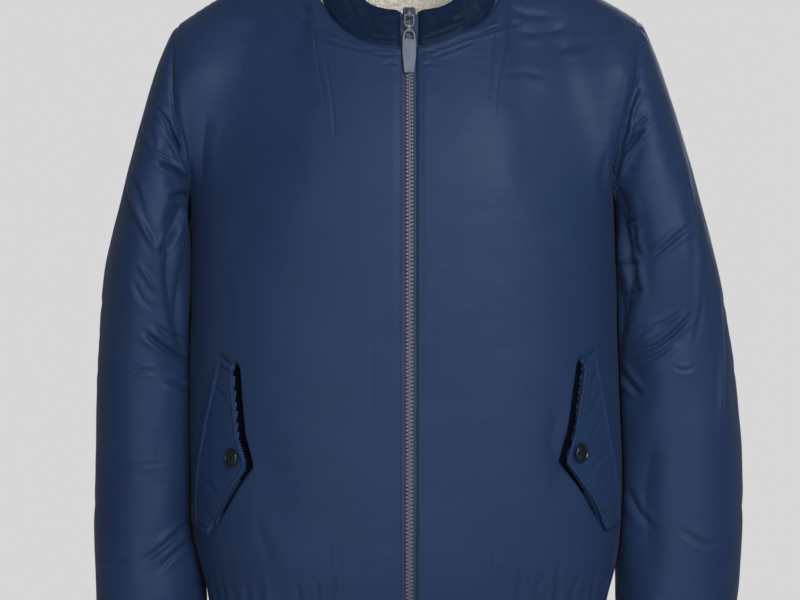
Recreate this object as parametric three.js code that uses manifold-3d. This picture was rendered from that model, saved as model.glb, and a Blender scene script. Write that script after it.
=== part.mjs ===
// A lightly padded, zip-front bomber jacket with a stand collar lined in pile cloth, slanted pocket
// flaps closed by snaps, and an elasticated waistband and cuffs. It keeps the hollow shape that it has
// when worn, with the arms hanging at the sides.
//
// Millimetres. +X is the wearer's left, -Y the front and +Z up. The origin is midway between the neck
// points of the two shoulder seams, which is where the jacket hangs on its wearer.
import * as THREE from "three";
import { mergeVertices } from "three/addons/utils/BufferGeometryUtils.js";
import Module from "manifold-3d";

// ---------------------------------------------------------------- driving sizes
const CLOTH = 3; // shell cloth with its thin wadding
const COLLAR_CLOTH = 2.5;
const PILE = 5; // collar lining, pile included
const RIB = 3; // waistband and cuffs, cloth over elastic
const SEAM = 0.3; // space between neighbouring pieces
const HALF = Math.PI / 2;

const NECK = { half: 97, frontZ: -92, frontY: -88, sideY: -8, backZ: -6, backY: 70, square: 2.5, dip: 1.1 };
const SHOULDER = { y: 5, rightX: 231, rightZ: -64, leftX: 229, leftZ: -60, fall: 1.5 };
const UNDERARM_Z = -250;
const ARMHOLE = { front: 68, back: 62 }; // how far the armhole reaches in front of and behind its ends
const ARMHOLE_MIDDLE = { x: 205, y: 2, z: -170 };
const CHEST_Z = -160; // above this height the panels turn in towards the neck
const WAIST_SEAM_Z = -655;
const HEM_Z = -710;
const BICEPS_Z = -300;
const CUFF = { seamZ: -692, endZ: -745, bulge: 0.03, taper: 0.035 };
const WAISTBAND = { bulge: 0.012, flare: 0.012 };
const SQUARE = 2.4; // how boxy the body's sections are, 2 being an ellipse
const SLEEVE_SQUARE = 2.15;
const SLEEVE_CLEAR = 1.8; // the least space between a sleeve and the body's side

// Sections of the body from the waist seam up to the underarm: half widths at the wearer's right and
// left, and depths in front of and behind the side seams.
const BODY_SECTIONS = [
  { z: -655, right: 183, left: 181, front: 104, back: 101 },
  { z: -650, right: 190, left: 188, front: 110, back: 107 },
  { z: -640, right: 197, left: 195, front: 116, back: 113 },
  { z: -620, right: 202, left: 201, front: 122, back: 118 },
  { z: -595, right: 209, left: 208, front: 127, back: 122 },
  { z: -560, right: 215, left: 211, front: 130, back: 124 },
  { z: -520, right: 218, left: 213, front: 132, back: 124 },
  { z: -460, right: 219, left: 211, front: 133, back: 122 },
  { z: -380, right: 219, left: 208, front: 133, back: 120 },
  { z: -300, right: 218, left: 207, front: 132, back: 121 },
  { z: -250, right: 218, left: 205, front: 130, back: 124 },
];

// How far out the armhole lies, at shares of its height.
const ARMHOLE_SECTIONS = [
  { z: 0, right: 218, left: 205 },
  { z: 0.12, right: 216, left: 200 },
  { z: 0.3, right: 219, left: 204 },
  { z: 0.5, right: 228, left: 213 },
  { z: 0.65, right: 231, left: 221 },
  { z: 0.82, right: 233, left: 225 },
  { z: 1, right: 231, left: 229 },
];

// Sections of the sleeves from the cuff seam up to the biceps: how far out the outer and inner lines
// lie, the middle's place in Y, and the depth each way from it.
const SLEEVE_SECTIONS = {
  right: [
    { z: -692, out: 292, inn: 218, y: -4, deep: 43 },
    { z: -684, out: 300, inn: 211, y: -4, deep: 52 },
    { z: -668, out: 308, inn: 205, y: -3, deep: 60 },
    { z: -645, out: 312, inn: 202, y: -2, deep: 65 },
    { z: -620, out: 313, inn: 203, y: 0, deep: 67 },
    { z: -580, out: 314, inn: 205, y: 4, deep: 69 },
    { z: -520, out: 314, inn: 207, y: 9, deep: 72 },
    { z: -460, out: 313, inn: 207, y: 13, deep: 76 },
    { z: -400, out: 312, inn: 207, y: 16, deep: 80 },
    { z: -340, out: 308, inn: 207, y: 16, deep: 84 },
    { z: -300, out: 303, inn: 208, y: 13, deep: 87 },
  ],
  left: [
    { z: -692, out: 302, inn: 227, y: -4, deep: 43 },
    { z: -684, out: 310, inn: 218, y: -4, deep: 52 },
    { z: -668, out: 319, inn: 212, y: -3, deep: 60 },
    { z: -645, out: 326, inn: 207, y: -2, deep: 66 },
    { z: -620, out: 329, inn: 206, y: 0, deep: 69 },
    { z: -580, out: 332, inn: 203, y: 4, deep: 72 },
    { z: -520, out: 334, inn: 203, y: 9, deep: 75 },
    { z: -460, out: 331, inn: 201, y: 13, deep: 78 },
    { z: -400, out: 325, inn: 199, y: 16, deep: 82 },
    { z: -340, out: 316, inn: 199, y: 16, deep: 85 },
    { z: -300, out: 307, inn: 200, y: 13, deep: 88 },
  ],
};

// The stand collar, round from the centre front: height, lean towards the neck at the seam and at the
// top edge in degrees.
const COLLAR_SECTIONS = [
  { z: 0, high: 40, leanSeam: 26, leanTop: 26 },
  { z: 0.08, high: 41, leanSeam: 25, leanTop: 27 },
  { z: 0.18, high: 44, leanSeam: 16, leanTop: 26 },
  { z: 0.35, high: 50, leanSeam: 2, leanTop: 18 },
  { z: 0.55, high: 54, leanSeam: 0, leanTop: 12 },
  { z: 0.8, high: 58, leanSeam: 6, leanTop: 14 },
  { z: 1, high: 60, leanSeam: 10, leanTop: 16 },
];

// How the panels curve over to their upper edge: how far their last stretch reaches out and down at the
// centre line, at the neck point, and how much more at the armhole.
const UPPER_CURVE = {
  leave: 0.36, // the share of the rise that goes straight up from the underarm
  front: { centreOut: 16, centreDown: 33, neckOut: 42, neckDown: 34, armOut: 12, armDown: -24 },
  back: { centreOut: 22, centreDown: 45, neckOut: 52, neckDown: 16, armOut: 6, armDown: -8 },
};

// Gathers at the elasticated edges: how many there are, how deep, and how far up they reach.
const GATHERS = {
  front: { count: 9, from: 0.32, deep: 3.2, reach: 52 },
  back: { count: 20, deep: 3.4, reach: 56 },
  cuff: { count: 10, deep: 2.4, reach: 44 },
};

// The largest folds, as seen square on: the ends of each in X and Z, its half width, and its depth,
// which is negative for a trough. face is -1 in front and 1 behind.
const FOLDS = {
  front_right: [
    { face: -1, x0: -155, z0: -91, x1: -92, z1: -112, wide: 10, deep: -3 },
    { face: -1, x0: -186, z0: -150, x1: -196, z1: -222, wide: 11, deep: -2.5 },
    { face: -1, x0: -146, z0: -470, x1: -122, z1: -560, wide: 20, deep: -2 },
  ],
  front_left: [
    { face: -1, x0: 98, z0: -85, x1: 161, z1: -77, wide: 9, deep: -3 },
    { face: -1, x0: 137, z0: -454, x1: 156, z1: -514, wide: 15, deep: -4 },
    { face: -1, x0: 188, z0: -165, x1: 181, z1: -235, wide: 12, deep: -2.5 },
  ],
  back: [
    { face: 1, x0: -120, z0: -105, x1: 110, z1: -98, wide: 16, deep: -2.5 },
    { face: 1, x0: 190, z0: -190, x1: 120, z1: -270, wide: 15, deep: -3.5 },
    { face: 1, x0: -192, z0: -185, x1: -128, z1: -262, wide: 16, deep: -3.5 },
    { face: 1, x0: 150, z0: -430, x1: 112, z1: -560, wide: 20, deep: -3 },
    { face: 1, x0: -138, z0: -400, x1: -118, z1: -545, wide: 22, deep: -3 },
    { face: 1, x0: 20, z0: -470, x1: 8, z1: -590, wide: 18, deep: -2.5 },
  ],
  sleeve_right: [
    { face: -1, x0: -240, z0: -170, x1: -216, z1: -214, wide: 8, deep: -5 },
    { face: -1, x0: -246, z0: -210, x1: -218, z1: -228, wide: 8, deep: -4 },
    { face: -1, x0: -272, z0: -224, x1: -245, z1: -296, wide: 10, deep: 4 },
    { face: -1, x0: -222, z0: -246, x1: -245, z1: -298, wide: 9, deep: -4 },
    { face: -1, x0: -284, z0: -302, x1: -253, z1: -368, wide: 11, deep: 3 },
    { face: -1, x0: -256, z0: -373, x1: -216, z1: -403, wide: 9, deep: -5 },
    { face: -1, x0: -206, z0: -553, x1: -252, z1: -592, wide: 11, deep: -5 },
    { face: 1, x0: -285, z0: -190, x1: -232, z1: -240, wide: 12, deep: -4 },
    { face: 1, x0: -290, z0: -330, x1: -230, z1: -370, wide: 12, deep: -5 },
    { face: 1, x0: -292, z0: -382, x1: -236, z1: -398, wide: 11, deep: -4 },
    { face: 1, x0: -280, z0: -440, x1: -250, z1: -560, wide: 14, deep: 3.5 },
  ],
  sleeve_left: [
    { face: -1, x0: 229, z0: -174, x1: 204, z1: -210, wide: 8, deep: -4.5 },
    { face: -1, x0: 216, z0: -255, x1: 226, z1: -302, wide: 10, deep: -4 },
    { face: -1, x0: 274, z0: -353, x1: 214, z1: -390, wide: 9, deep: -5 },
    { face: -1, x0: 246, z0: -409, x1: 212, z1: -432, wide: 10, deep: -4.5 },
    { face: -1, x0: 271, z0: -208, x1: 279, z1: -358, wide: 10, deep: 4 },
    { face: -1, x0: 302, z0: -310, x1: 305, z1: -475, wide: 9, deep: 3 },
    { face: -1, x0: 236, z0: -470, x1: 234, z1: -600, wide: 16, deep: -3 },
    { face: 1, x0: 284, z0: -195, x1: 226, z1: -250, wide: 12, deep: -4 },
    { face: 1, x0: 300, z0: -340, x1: 232, z1: -368, wide: 12, deep: -5 },
    { face: 1, x0: 304, z0: -390, x1: 240, z1: -402, wide: 11, deep: -4 },
    { face: 1, x0: 296, z0: -450, x1: 270, z1: -580, wide: 14, deep: 3.5 },
  ],
};

// A pocket flap from its top end down: the share of the way from the centre front to the side seam at
// its sewn edge and at its free edge, and how far below the flap's top each of them is.
const FLAP = { topZ: -390, cloth: 2.4, liftSewn: 2 * SEAM, liftFree: 3.6, sideShift: 2.5, topShift: 0.017 };
const FLAP_SECTIONS = [
  { z: 0, sewn: 0.612, sewnDrop: 0, free: 0.527, freeDrop: 11 },
  { z: 0.2, sewn: 0.655, sewnDrop: 35, free: 0.512, freeDrop: 37 },
  { z: 0.45, sewn: 0.722, sewnDrop: 82, free: 0.485, freeDrop: 80 },
  { z: 0.62, sewn: 0.766, sewnDrop: 111, free: 0.45, freeDrop: 107 },
  { z: 0.8, sewn: 0.804, sewnDrop: 142, free: 0.56, freeDrop: 142 },
  { z: 1, sewn: 0.822, sewnDrop: 170, free: 0.68, freeDrop: 175 },
];
const SNAP = { radius: 9.2, high: 2.8, across: 0.508, drop: 99 };

// The zip, its sizes across it and its depths behind the line of the fronts.
const ZIP = {
  gap: 7.8, // from the centre line to the fronts' edges
  chain: 3.3, // half the width of the teeth
  chainFace: 1.8,
  chainBack: 5.2,
  tapeReach: 16, // from the centre line to the tapes' outer edges
  tapeFace: 4.1,
  tapeBack: 5,
};
const SLIDER = { z: -58.5, wide: 6.4, narrow: 4.8, long: 13, plate: 1.6, clear: SEAM, post: 1.5 };
const CROWN = { wide: 3.6, long: 12, high: 4.4, pinDepth: 1.7, pinDrop: 4, hole: 1.35 };
const LINK = { wide: 10, long: 12.5, wire: 1.5, corner: 4.2 };
const PULL = { thick: 1.8, long: 50, eye: 2.4, hole: 1.45, eyeWide: 3.2, bevel: 0.3 };
const PULL_OUTLINE = [
  { down: 1.6, half: 1.6 },
  { down: 3.4, half: 2.6 },
  { down: 6, half: 5 },
  { down: 11, half: 6.1 },
  { down: 20, half: 6.6 },
  { down: 32, half: 6.5 },
  { down: 50, half: 4.6 },
];
const BOX = { half: 3.3, long: 12, face: 0.8, back: 6.4 };

// ---------------------------------------------------------------- small tools
const { lerp, smoothstep, clamp, degToRad } = THREE.MathUtils;
const wasm = await Module();
wasm.setup();
const vec = (x, y, z) => new THREE.Vector3(x, y, z);
const power = (value, exponent) => Math.sign(value) * Math.abs(value) ** exponent;
const span = (count, from = 0, to = 1) =>
  Array.from({ length: count + 1 }, (_, i) => lerp(from, to, i / count));

/** Every column of a table at a place, on a smooth curve through its rows. */
function at(table, z) {
  let i = 0;
  while (i < table.length - 2 && table[i + 1].z < z) i++;
  const before = table[Math.max(i - 1, 0)];
  const low = table[i];
  const high = table[i + 1];
  const after = table[Math.min(i + 2, table.length - 1)];
  const step = high.z - low.z;
  const t = clamp((z - low.z) / step, 0, 1);
  const row = {};
  for (const key of Object.keys(low)) {
    const slopeLow = ((high[key] - before[key]) / (high.z - before.z)) * step;
    const slopeHigh = ((after[key] - low[key]) / (after.z - low.z)) * step;
    row[key] =
      low[key] * (2 * t ** 3 - 3 * t ** 2 + 1) +
      high[key] * (3 * t ** 2 - 2 * t ** 3) +
      slopeLow * (t ** 3 - 2 * t ** 2 + t) +
      slopeHigh * (t ** 3 - t ** 2);
  }
  return row;
}

/** A point of a cubic curve from a to d that leaves towards b and arrives from c. */
function curve(a, b, c, d, t) {
  return vec(0, 0, 0)
    .addScaledVector(a, (1 - t) ** 3)
    .addScaledVector(b, 3 * t * (1 - t) ** 2)
    .addScaledVector(c, 3 * t ** 2 * (1 - t))
    .addScaledVector(d, t ** 3);
}

/** How far the folds of a piece move a point along its normal. */
function foldDepth(folds, point, normal) {
  let depth = 0;
  for (const fold of folds) {
    const facing = smoothstep(fold.face * normal.y, 0.05, 0.45);
    if (facing === 0) continue;
    const length = Math.hypot(fold.x1 - fold.x0, fold.z1 - fold.z0);
    const ux = (fold.x1 - fold.x0) / length;
    const uz = (fold.z1 - fold.z0) / length;
    const along = ((point.x - fold.x0) * ux + (point.z - fold.z0) * uz) / length;
    const off = (point.x - fold.x0) * uz - (point.z - fold.z0) * ux;
    const ends = smoothstep(along, -0.25, 0.25) * (1 - smoothstep(along, 0.75, 1.25));
    depth += facing * ends * fold.deep * Math.exp(-((off / fold.wide) ** 2));
  }
  return depth;
}

// ---------------------------------------------------------------- walls
/** Triangles between two rows of point numbers, which may hold different counts. */
function strip(low, high, lowPlaces, highPlaces) {
  const triangles = [];
  let i = 0;
  let j = 0;
  while (i < low.length - 1 || j < high.length - 1) {
    const nextLow = i < low.length - 1 ? lowPlaces[i] + lowPlaces[i + 1] : Infinity;
    const nextHigh = j < high.length - 1 ? highPlaces[j] + highPlaces[j + 1] : Infinity;
    if (nextLow <= nextHigh) {
      triangles.push([low[i], low[i + 1], high[j]]);
      i++;
    } else {
      triangles.push([low[i], high[j + 1], high[j]]);
      j++;
    }
  }
  return triangles;
}

/** The outer face's normal at a place on a surface. */
function normalOf(surface, across, up, inside) {
  const step = 1e-3;
  const alongRow = surface(across + step, up).sub(surface(across - step, up));
  const alongColumn = surface(across, up + step).sub(surface(across, up - step));
  const normal = alongRow.cross(alongColumn).normalize();
  const outward = surface(across, up).sub(inside(surface(across, up)));
  return normal.dot(outward) < 0 ? normal.negate() : normal;
}

/**
 * A closed wall of cloth on a surface. rows lists each row's place up the surface and the places of its
 * points across it. move gives how far a point's outer face is moved out, and depth how far in the
 * wall's inner face lies from its outer one.
 */
function wall({ surface, rows, depth, inside, normalAt = normalOf, move = () => 0, closed = false }) {
  const points = [];
  const faces = [[], []];
  for (const { up, places } of rows) {
    const numbers = [[], []];
    for (const place of closed ? places.slice(0, -1) : places) {
      const normal = normalAt(surface, place, up, inside);
      const outer = surface(place, up);
      outer.addScaledVector(normal, move(place, up, outer, normal));
      numbers[0].push(points.push(outer) - 1);
      numbers[1].push(points.push(outer.clone().addScaledVector(normal, -depth)) - 1);
    }
    for (const layer of [0, 1]) {
      if (closed) numbers[layer].push(numbers[layer][0]);
      faces[layer].push(numbers[layer]);
    }
  }
  const triangles = [];
  for (let row = 0; row < rows.length - 1; row++) {
    const [low, high] = [rows[row].places, rows[row + 1].places];
    triangles.push(...strip(faces[0][row], faces[0][row + 1], low, high));
    for (const [a, b, c] of strip(faces[1][row], faces[1][row + 1], low, high)) triangles.push([a, c, b]);
  }
  const rims = [];
  for (const [row, turn] of [[0, false], [rows.length - 1, true]]) {
    for (let i = 0; i < faces[0][row].length - 1; i++) rims.push([row, i, row, i + 1, turn]);
  }
  for (let row = 0; row < rows.length - 1 && !closed; row++) {
    rims.push([row, 0, row + 1, 0, true]);
    rims.push([row, faces[0][row].length - 1, row + 1, faces[0][row + 1].length - 1, false]);
  }
  for (const [row, i, nextRow, next, turn] of rims) {
    const [a, b] = [faces[0][row][i], faces[0][nextRow][next]];
    const [c, d] = [faces[1][row][i], faces[1][nextRow][next]];
    triangles.push(...(turn ? [[a, b, c], [b, d, c]] : [[b, a, c], [b, c, d]]));
  }
  return closedGeometry(points, triangles);
}

/** A geometry of points and triangles, turned so that its faces point out. */
function closedGeometry(points, triangles) {
  const volume = triangles.reduce(
    (sum, [a, b, c]) => sum + points[a].dot(points[b].clone().cross(points[c])),
    0,
  );
  const index = triangles.flatMap(([a, b, c]) => (volume < 0 ? [a, c, b] : [a, b, c]));
  const geometry = new THREE.BufferGeometry().setFromPoints(points);
  geometry.setIndex(index);
  geometry.computeVertexNormals();
  return geometry;
}

/** The manifold solid of a closed geometry. */
function solid(geometry) {
  const bare = new THREE.BufferGeometry().setAttribute("position", geometry.getAttribute("position"));
  const merged = mergeVertices(geometry.index ? bare.setIndex(geometry.index) : bare, 1e-4);
  const triVerts = new Uint32Array(merged.index.array);
  return new wasm.Manifold(
    new wasm.Mesh({ numProp: 3, vertProperties: merged.attributes.position.array, triVerts }),
  );
}

/** One geometry from closed geometries that are joined, less those that are cut out of them. */
function carved(joined, cut = []) {
  let result = joined.map(solid).reduce((all, next) => all.add(next));
  for (const geometry of cut) result = result.subtract(solid(geometry));
  const mesh = result.getMesh();
  const geometry = new THREE.BufferGeometry();
  geometry.setAttribute("position", new THREE.BufferAttribute(mesh.vertProperties, 3));
  geometry.setIndex(new THREE.BufferAttribute(mesh.triVerts, 1));
  geometry.computeVertexNormals();
  return geometry;
}

/** A flat plate in X and Z with its front face at a place in Y, made from an outline in x and y. */
function plate(outline, face, thick, bevel = 0) {
  const geometry = new THREE.ExtrudeGeometry(outline, {
    depth: thick - 2 * bevel,
    bevelEnabled: bevel > 0,
    bevelThickness: bevel,
    bevelSize: bevel,
    bevelOffset: -bevel,
    bevelSegments: 1,
    curveSegments: 6,
  });
  return geometry.rotateX(HALF).translate(0, face + thick - bevel, 0);
}

/** A round bar along X through a point in Y and Z. */
function crossBar(radius, width, y = 0, z = 0) {
  return new THREE.CylinderGeometry(radius, radius, width, 16).rotateZ(HALF).translate(0, y, z);
}

const sideName = (side) => (side > 0 ? "left" : "right");

// ---------------------------------------------------------------- body
/** A point of the body's section at a height. across runs from the centre line to the side seam. */
function section(side, face, across, z) {
  const sizes = at(BODY_SECTIONS, z);
  const start = face < 0 ? ZIP.gap : 0;
  const angle = across * HALF;
  const x = start + (sizes[sideName(side)] - start) * power(Math.sin(angle), 2 / SQUARE);
  const y = (face < 0 ? sizes.front : sizes.back) * power(Math.cos(angle), 2 / SQUARE);
  return vec(side * x, face * y, z);
}

/** A point of the neckline. round runs from the centre line to the shoulder seam. */
function neckline(side, face, round) {
  const angle = round * HALF;
  const start = face < 0 ? ZIP.gap : 0;
  const x = start + (NECK.half - start) * power(Math.sin(angle), 2 / NECK.square);
  const [y, z] = face < 0 ? [NECK.frontY, NECK.frontZ] : [NECK.backY, NECK.backZ];
  return vec(
    side * x,
    NECK.sideY + (y - NECK.sideY) * Math.cos(angle),
    z * power(Math.cos(angle), NECK.dip),
  );
}

const NECK_SHARE = 0.3; // the share of a body section's columns that end on the neckline
const NECK_FACETS = { front: 6, back: 5 }; // along each quarter of the neckline
const SHOULDER_FACETS = 11;

/** A point of the upper edge of a body panel: its neckline, then its shoulder seam. */
function upperEdge(side, face, across) {
  if (across <= NECK_SHARE) return neckline(side, face, across / NECK_SHARE);
  const along = (across - NECK_SHARE) / (1 - NECK_SHARE);
  const end = shoulderPoint(side);
  return vec(
    side * lerp(NECK.half, side * end.x, along),
    lerp(NECK.sideY, end.y, along),
    end.z * along ** SHOULDER.fall,
  );
}

/** The outer end of a shoulder seam. */
function shoulderPoint(side) {
  const name = sideName(side);
  return vec(side * SHOULDER[`${name}X`], SHOULDER.y, SHOULDER[`${name}Z`]);
}

/** A point of the armhole. up runs from the underarm to the shoulder point. */
function armhole(side, face, up) {
  const angle = (up - 0.5) * Math.PI;
  const height = (1 + Math.sin(angle)) / 2;
  const reach = face < 0 ? ARMHOLE.front : ARMHOLE.back;
  const end = shoulderPoint(side);
  return vec(
    side * at(ARMHOLE_SECTIONS, height)[sideName(side)],
    lerp(0, end.y, height) + face * reach * Math.cos(angle),
    lerp(UNDERARM_Z, end.z, height),
  );
}

/**
 * A point of the body's outer face. up runs from 0 at the waist seam through 1 at the underarm to 2 at
 * the upper edge.
 */
function body(side, face, across, up) {
  if (up <= 1) return section(side, face, across, lerp(WAIST_SEAM_Z, UNDERARM_Z, up));
  const t = up - 1;
  const risen = (place) => {
    const start = section(side, face, place, UNDERARM_Z);
    const end = upperEdge(side, face, place);
    const rise = (end.z - start.z) * UPPER_CURVE.leave;
    const toNeck = smoothstep(place, 0, NECK_SHARE);
    const toArm = smoothstep(place, NECK_SHARE, 1);
    const turn = face < 0 ? UPPER_CURVE.front : UPPER_CURVE.back;
    const out = lerp(turn.centreOut, turn.neckOut, toNeck) + turn.armOut * toArm;
    const down = lerp(turn.centreDown, turn.neckDown, toNeck) + turn.armDown * toArm;
    const arrive = vec(0, face * out, -down);
    return curve(start, start.clone().add(vec(0, 0, rise)), end.clone().add(arrive), end, t);
  };
  const pull = smoothstep(across, 0.5, 1);
  const point = risen(across);
  if (pull > 0) point.add(armhole(side, face, t).sub(risen(1)).multiplyScalar(pull));
  return point;
}

/** A wave of gathers with uneven spacing. turns counts gathers along the edge. */
function gather(turns) {
  const phase = 2 * Math.PI * turns;
  const uneven = 0.75 + 0.25 * Math.sin(phase * 0.21);
  return 0.5 + 0.5 * uneven * Math.sin(phase + 0.9 * Math.sin(phase * 0.37 + 1));
}

/** How far the gathers at the waist seam push a point of the body out. */
function waistGather(face, across, z) {
  const { count, from = 0, deep, reach } = face < 0 ? GATHERS.front : GATHERS.back;
  const share = (Math.abs(across) - from) / (1 - from);
  if (share <= 0 || z > WAIST_SEAM_Z + reach) return 0;
  const height = (z - WAIST_SEAM_Z) / reach;
  const swell = smoothstep(height, -0.3, 0.18) * (1 - smoothstep(height, 0.2, 1));
  const turns = face < 0 ? count * share : (count * (across + 1)) / 2;
  const ends = smoothstep(share, 0, 0.15) * (1 - 0.8 * smoothstep(Math.abs(across), 0.93, 1));
  return deep * swell * ends * gather(turns);
}

/** A panel's normal. Along a side or shoulder seam it lies in the plane of the seam, level with X and Z. */
function panelNormal(surface, across, up, inside) {
  const normal = normalOf(surface, across, up, inside);
  const reach = Math.abs(across);
  const step = 2e-3;
  let along;
  if (reach > 1 - step && up <= 1) along = surface(across, up + step).sub(surface(across, up));
  else if (reach >= NECK_SHARE && up > 2 - step) {
    along = surface(across + step * Math.sign(across), up).sub(surface(across, up));
  } else return normal;
  const level = vec(-along.z, 0, along.x).normalize();
  return level.dot(normal) < 0 ? level.negate() : level;
}

const waistUp = (z) => (z - WAIST_SEAM_Z) / (UNDERARM_Z - WAIST_SEAM_Z);
const GATHERED_ROWS = [-655, -650, -640, -624, -602].map(waistUp);
const PLAIN_ROWS = [-575, -540, -500, -455, -410, -365, -325, -288, -250].map(waistUp);
const UPPER_ROWS = [1.12, 1.25, 1.38, 1.5, 1.62, 1.74, 1.85, 1.93, 2];

/** The places across half a panel whose facets meet the collar's and follow the shoulder. */
function upperPlaces(neckFacets) {
  return [...span(neckFacets, 0, NECK_SHARE), ...span(SHOULDER_FACETS, NECK_SHARE, 1).slice(1)];
}

/** The rows of a body panel: fine at the gathers, coarser above them. */
function bodyRows(finePlaces, coarsePlaces) {
  return [
    ...GATHERED_ROWS.map((up) => ({ up, places: finePlaces })),
    ...[...PLAIN_ROWS, ...UPPER_ROWS].map((up) => ({ up, places: coarsePlaces })),
  ];
}

const bodyMiddle = (point) => vec(0, 0, Math.min(point.z, CHEST_Z));
const PANEL_GAP = SEAM / 2;

/** How far a point of a body panel is moved out by its gathers and folds. */
function panelMove(name, face, across, point, normal) {
  return waistGather(face, across, point.z) + foldDepth(FOLDS[name], point, normal);
}

/** One front, from the zip round to the side seam and armhole. */
function front(side) {
  const name = `front_${sideName(side)}`;
  const { count, from } = GATHERS.front;
  const gathered = [...span(4, 0, from), ...span(count * 3, from, 1).slice(1)];
  return wall({
    surface: (across, up) => body(side, -1, across, up).add(vec(0, -PANEL_GAP, 0)),
    rows: bodyRows(gathered, upperPlaces(NECK_FACETS.front)),
    depth: CLOTH,
    inside: bodyMiddle,
    normalAt: panelNormal,
    move: (across, up, point, normal) => panelMove(name, -1, across, point, normal),
  });
}

/** The back, from side seam to side seam. */
function back() {
  const left = upperPlaces(NECK_FACETS.back);
  const right = left.slice(1).map((place) => -place).reverse();
  return wall({
    surface: (across, up) => body(Math.sign(across) || 1, 1, Math.abs(across), up).add(vec(0, PANEL_GAP, 0)),
    rows: bodyRows(span(GATHERS.back.count * 3, -1, 1), [...right, ...left]),
    depth: CLOTH,
    inside: bodyMiddle,
    normalAt: panelNormal,
    move: (across, up, point, normal) => panelMove("back", 1, across, point, normal),
  });
}

// ---------------------------------------------------------------- sleeves
/** A point of a sleeve's section at a height. round runs from the outer line through the front. */
function sleeveSection(side, round, z) {
  const sizes = at(SLEEVE_SECTIONS[sideName(side)], z);
  const angle = round * 2 * Math.PI;
  const half = (sizes.out - sizes.inn) / 2;
  const x = sizes.out - half + half * power(Math.cos(angle), 2 / SLEEVE_SQUARE);
  const y = sizes.y - sizes.deep * power(Math.sin(angle), 2 / SLEEVE_SQUARE);
  return vec(side * Math.max(x, bodySide(side, y, z) + SLEEVE_CLEAR), y, z);
}

/** How far out the body's side lies at a depth and height. */
function bodySide(side, y, z) {
  const sizes = at(BODY_SECTIONS, clamp(z, WAIST_SEAM_Z, UNDERARM_Z));
  const deep = y < 0 ? sizes.front : sizes.back;
  const share = clamp(1 - Math.abs(y / deep) ** SQUARE, 0, 1);
  return (y < 0 ? ZIP.gap : 0) + (sizes[sideName(side)] - (y < 0 ? ZIP.gap : 0)) * share ** (1 / SQUARE);
}

/** A point of a sleeve. up runs from 0 at the cuff seam through 1 at the biceps to 2 at the armhole. */
function sleeve(side, round, up) {
  const turn = ((round % 1) + 1) % 1;
  if (up <= 1) return sleeveSection(side, turn, lerp(CUFF.seamZ, BICEPS_Z, up));
  const angle = turn * 2 * Math.PI;
  const face = turn <= 0.5 ? -1 : 1;
  const outward = (1 + Math.cos(angle)) / 2;
  const leave = vec(side * 0.66, -0.25 * Math.sin(angle), -0.75).normalize();
  const end = armhole(side, face, Math.abs(1 - 2 * turn)).add(vec(side * 2.5 * SEAM, 0, 0));
  end.addScaledVector(leave, SEAM);
  const start = sleeveSection(side, turn, BICEPS_Z);
  const reach = start.distanceTo(end);
  const climb = vec(-side * lerp(0.05, 0.24, outward), 0, 1).setLength(0.32 * reach);
  const arrive = leave.setLength(lerp(0.2, 0.12, outward) * reach);
  return curve(start, start.clone().add(climb), end.clone().add(arrive), end, up - 1);
}

/** The middle of a sleeve near a point, which its outer face points away from. */
function sleeveMiddle(side) {
  return (point) => {
    const sizes = at(SLEEVE_SECTIONS[sideName(side)], Math.min(point.z, BICEPS_Z));
    const rise = clamp((point.z - BICEPS_Z) / (SHOULDER.rightZ - BICEPS_Z), 0, 1);
    const x = lerp((sizes.out + sizes.inn) / 2, ARMHOLE_MIDDLE.x, rise);
    return vec(side * x, lerp(sizes.y, ARMHOLE_MIDDLE.y, rise), lerp(point.z, ARMHOLE_MIDDLE.z, rise));
  };
}

/** How far the gathers above a cuff push a point of the sleeve out. */
function cuffGather(round, z) {
  const { count, deep, reach } = GATHERS.cuff;
  const height = (z - CUFF.seamZ) / reach;
  if (height > 1) return 0;
  return deep * smoothstep(height, -0.3, 0.2) * (1 - smoothstep(height, 0.2, 1)) * gather(count * round);
}

// The places round a sleeve where the rows of the panels end on the armhole.
const ARMHOLE_FRONT = [...UPPER_ROWS].reverse().map((up) => (2 - up) / 2);
const ARMHOLE_PLACES = [...ARMHOLE_FRONT, 0.5, ...ARMHOLE_FRONT.map((place) => 1 - place).reverse()];

/** One sleeve, a tube from the cuff seam to the armhole. */
function sleeveTube(side) {
  const low = [-692, -684, -670, -650].map((z) => (z - CUFF.seamZ) / (BICEPS_Z - CUFF.seamZ));
  const high = [-625, -595, -560, -525, -490, -455, -425, -395, -365, -335, -300];
  const cap = [1.16, 1.32, 1.47, 1.62, 1.76, 1.9];
  const rows = [
    ...low.map((up) => ({ up, places: span(GATHERS.cuff.count * 3) })),
    ...high.map((z) => ({ up: (z - CUFF.seamZ) / (BICEPS_Z - CUFF.seamZ), places: span(22) })),
    ...cap.map((up) => ({ up, places: span(22) })),
    { up: 2, places: ARMHOLE_PLACES },
  ];
  return wall({
    surface: (round, up) => sleeve(side, round, up),
    rows,
    depth: CLOTH,
    inside: sleeveMiddle(side),
    closed: true,
    move: (round, up, point, normal) =>
      cuffGather(round, point.z) +
      foldDepth(FOLDS[`sleeve_${sideName(side)}`], point, normal) * (1 - smoothstep(up, 1.7, 1.95)),
  });
}

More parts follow.
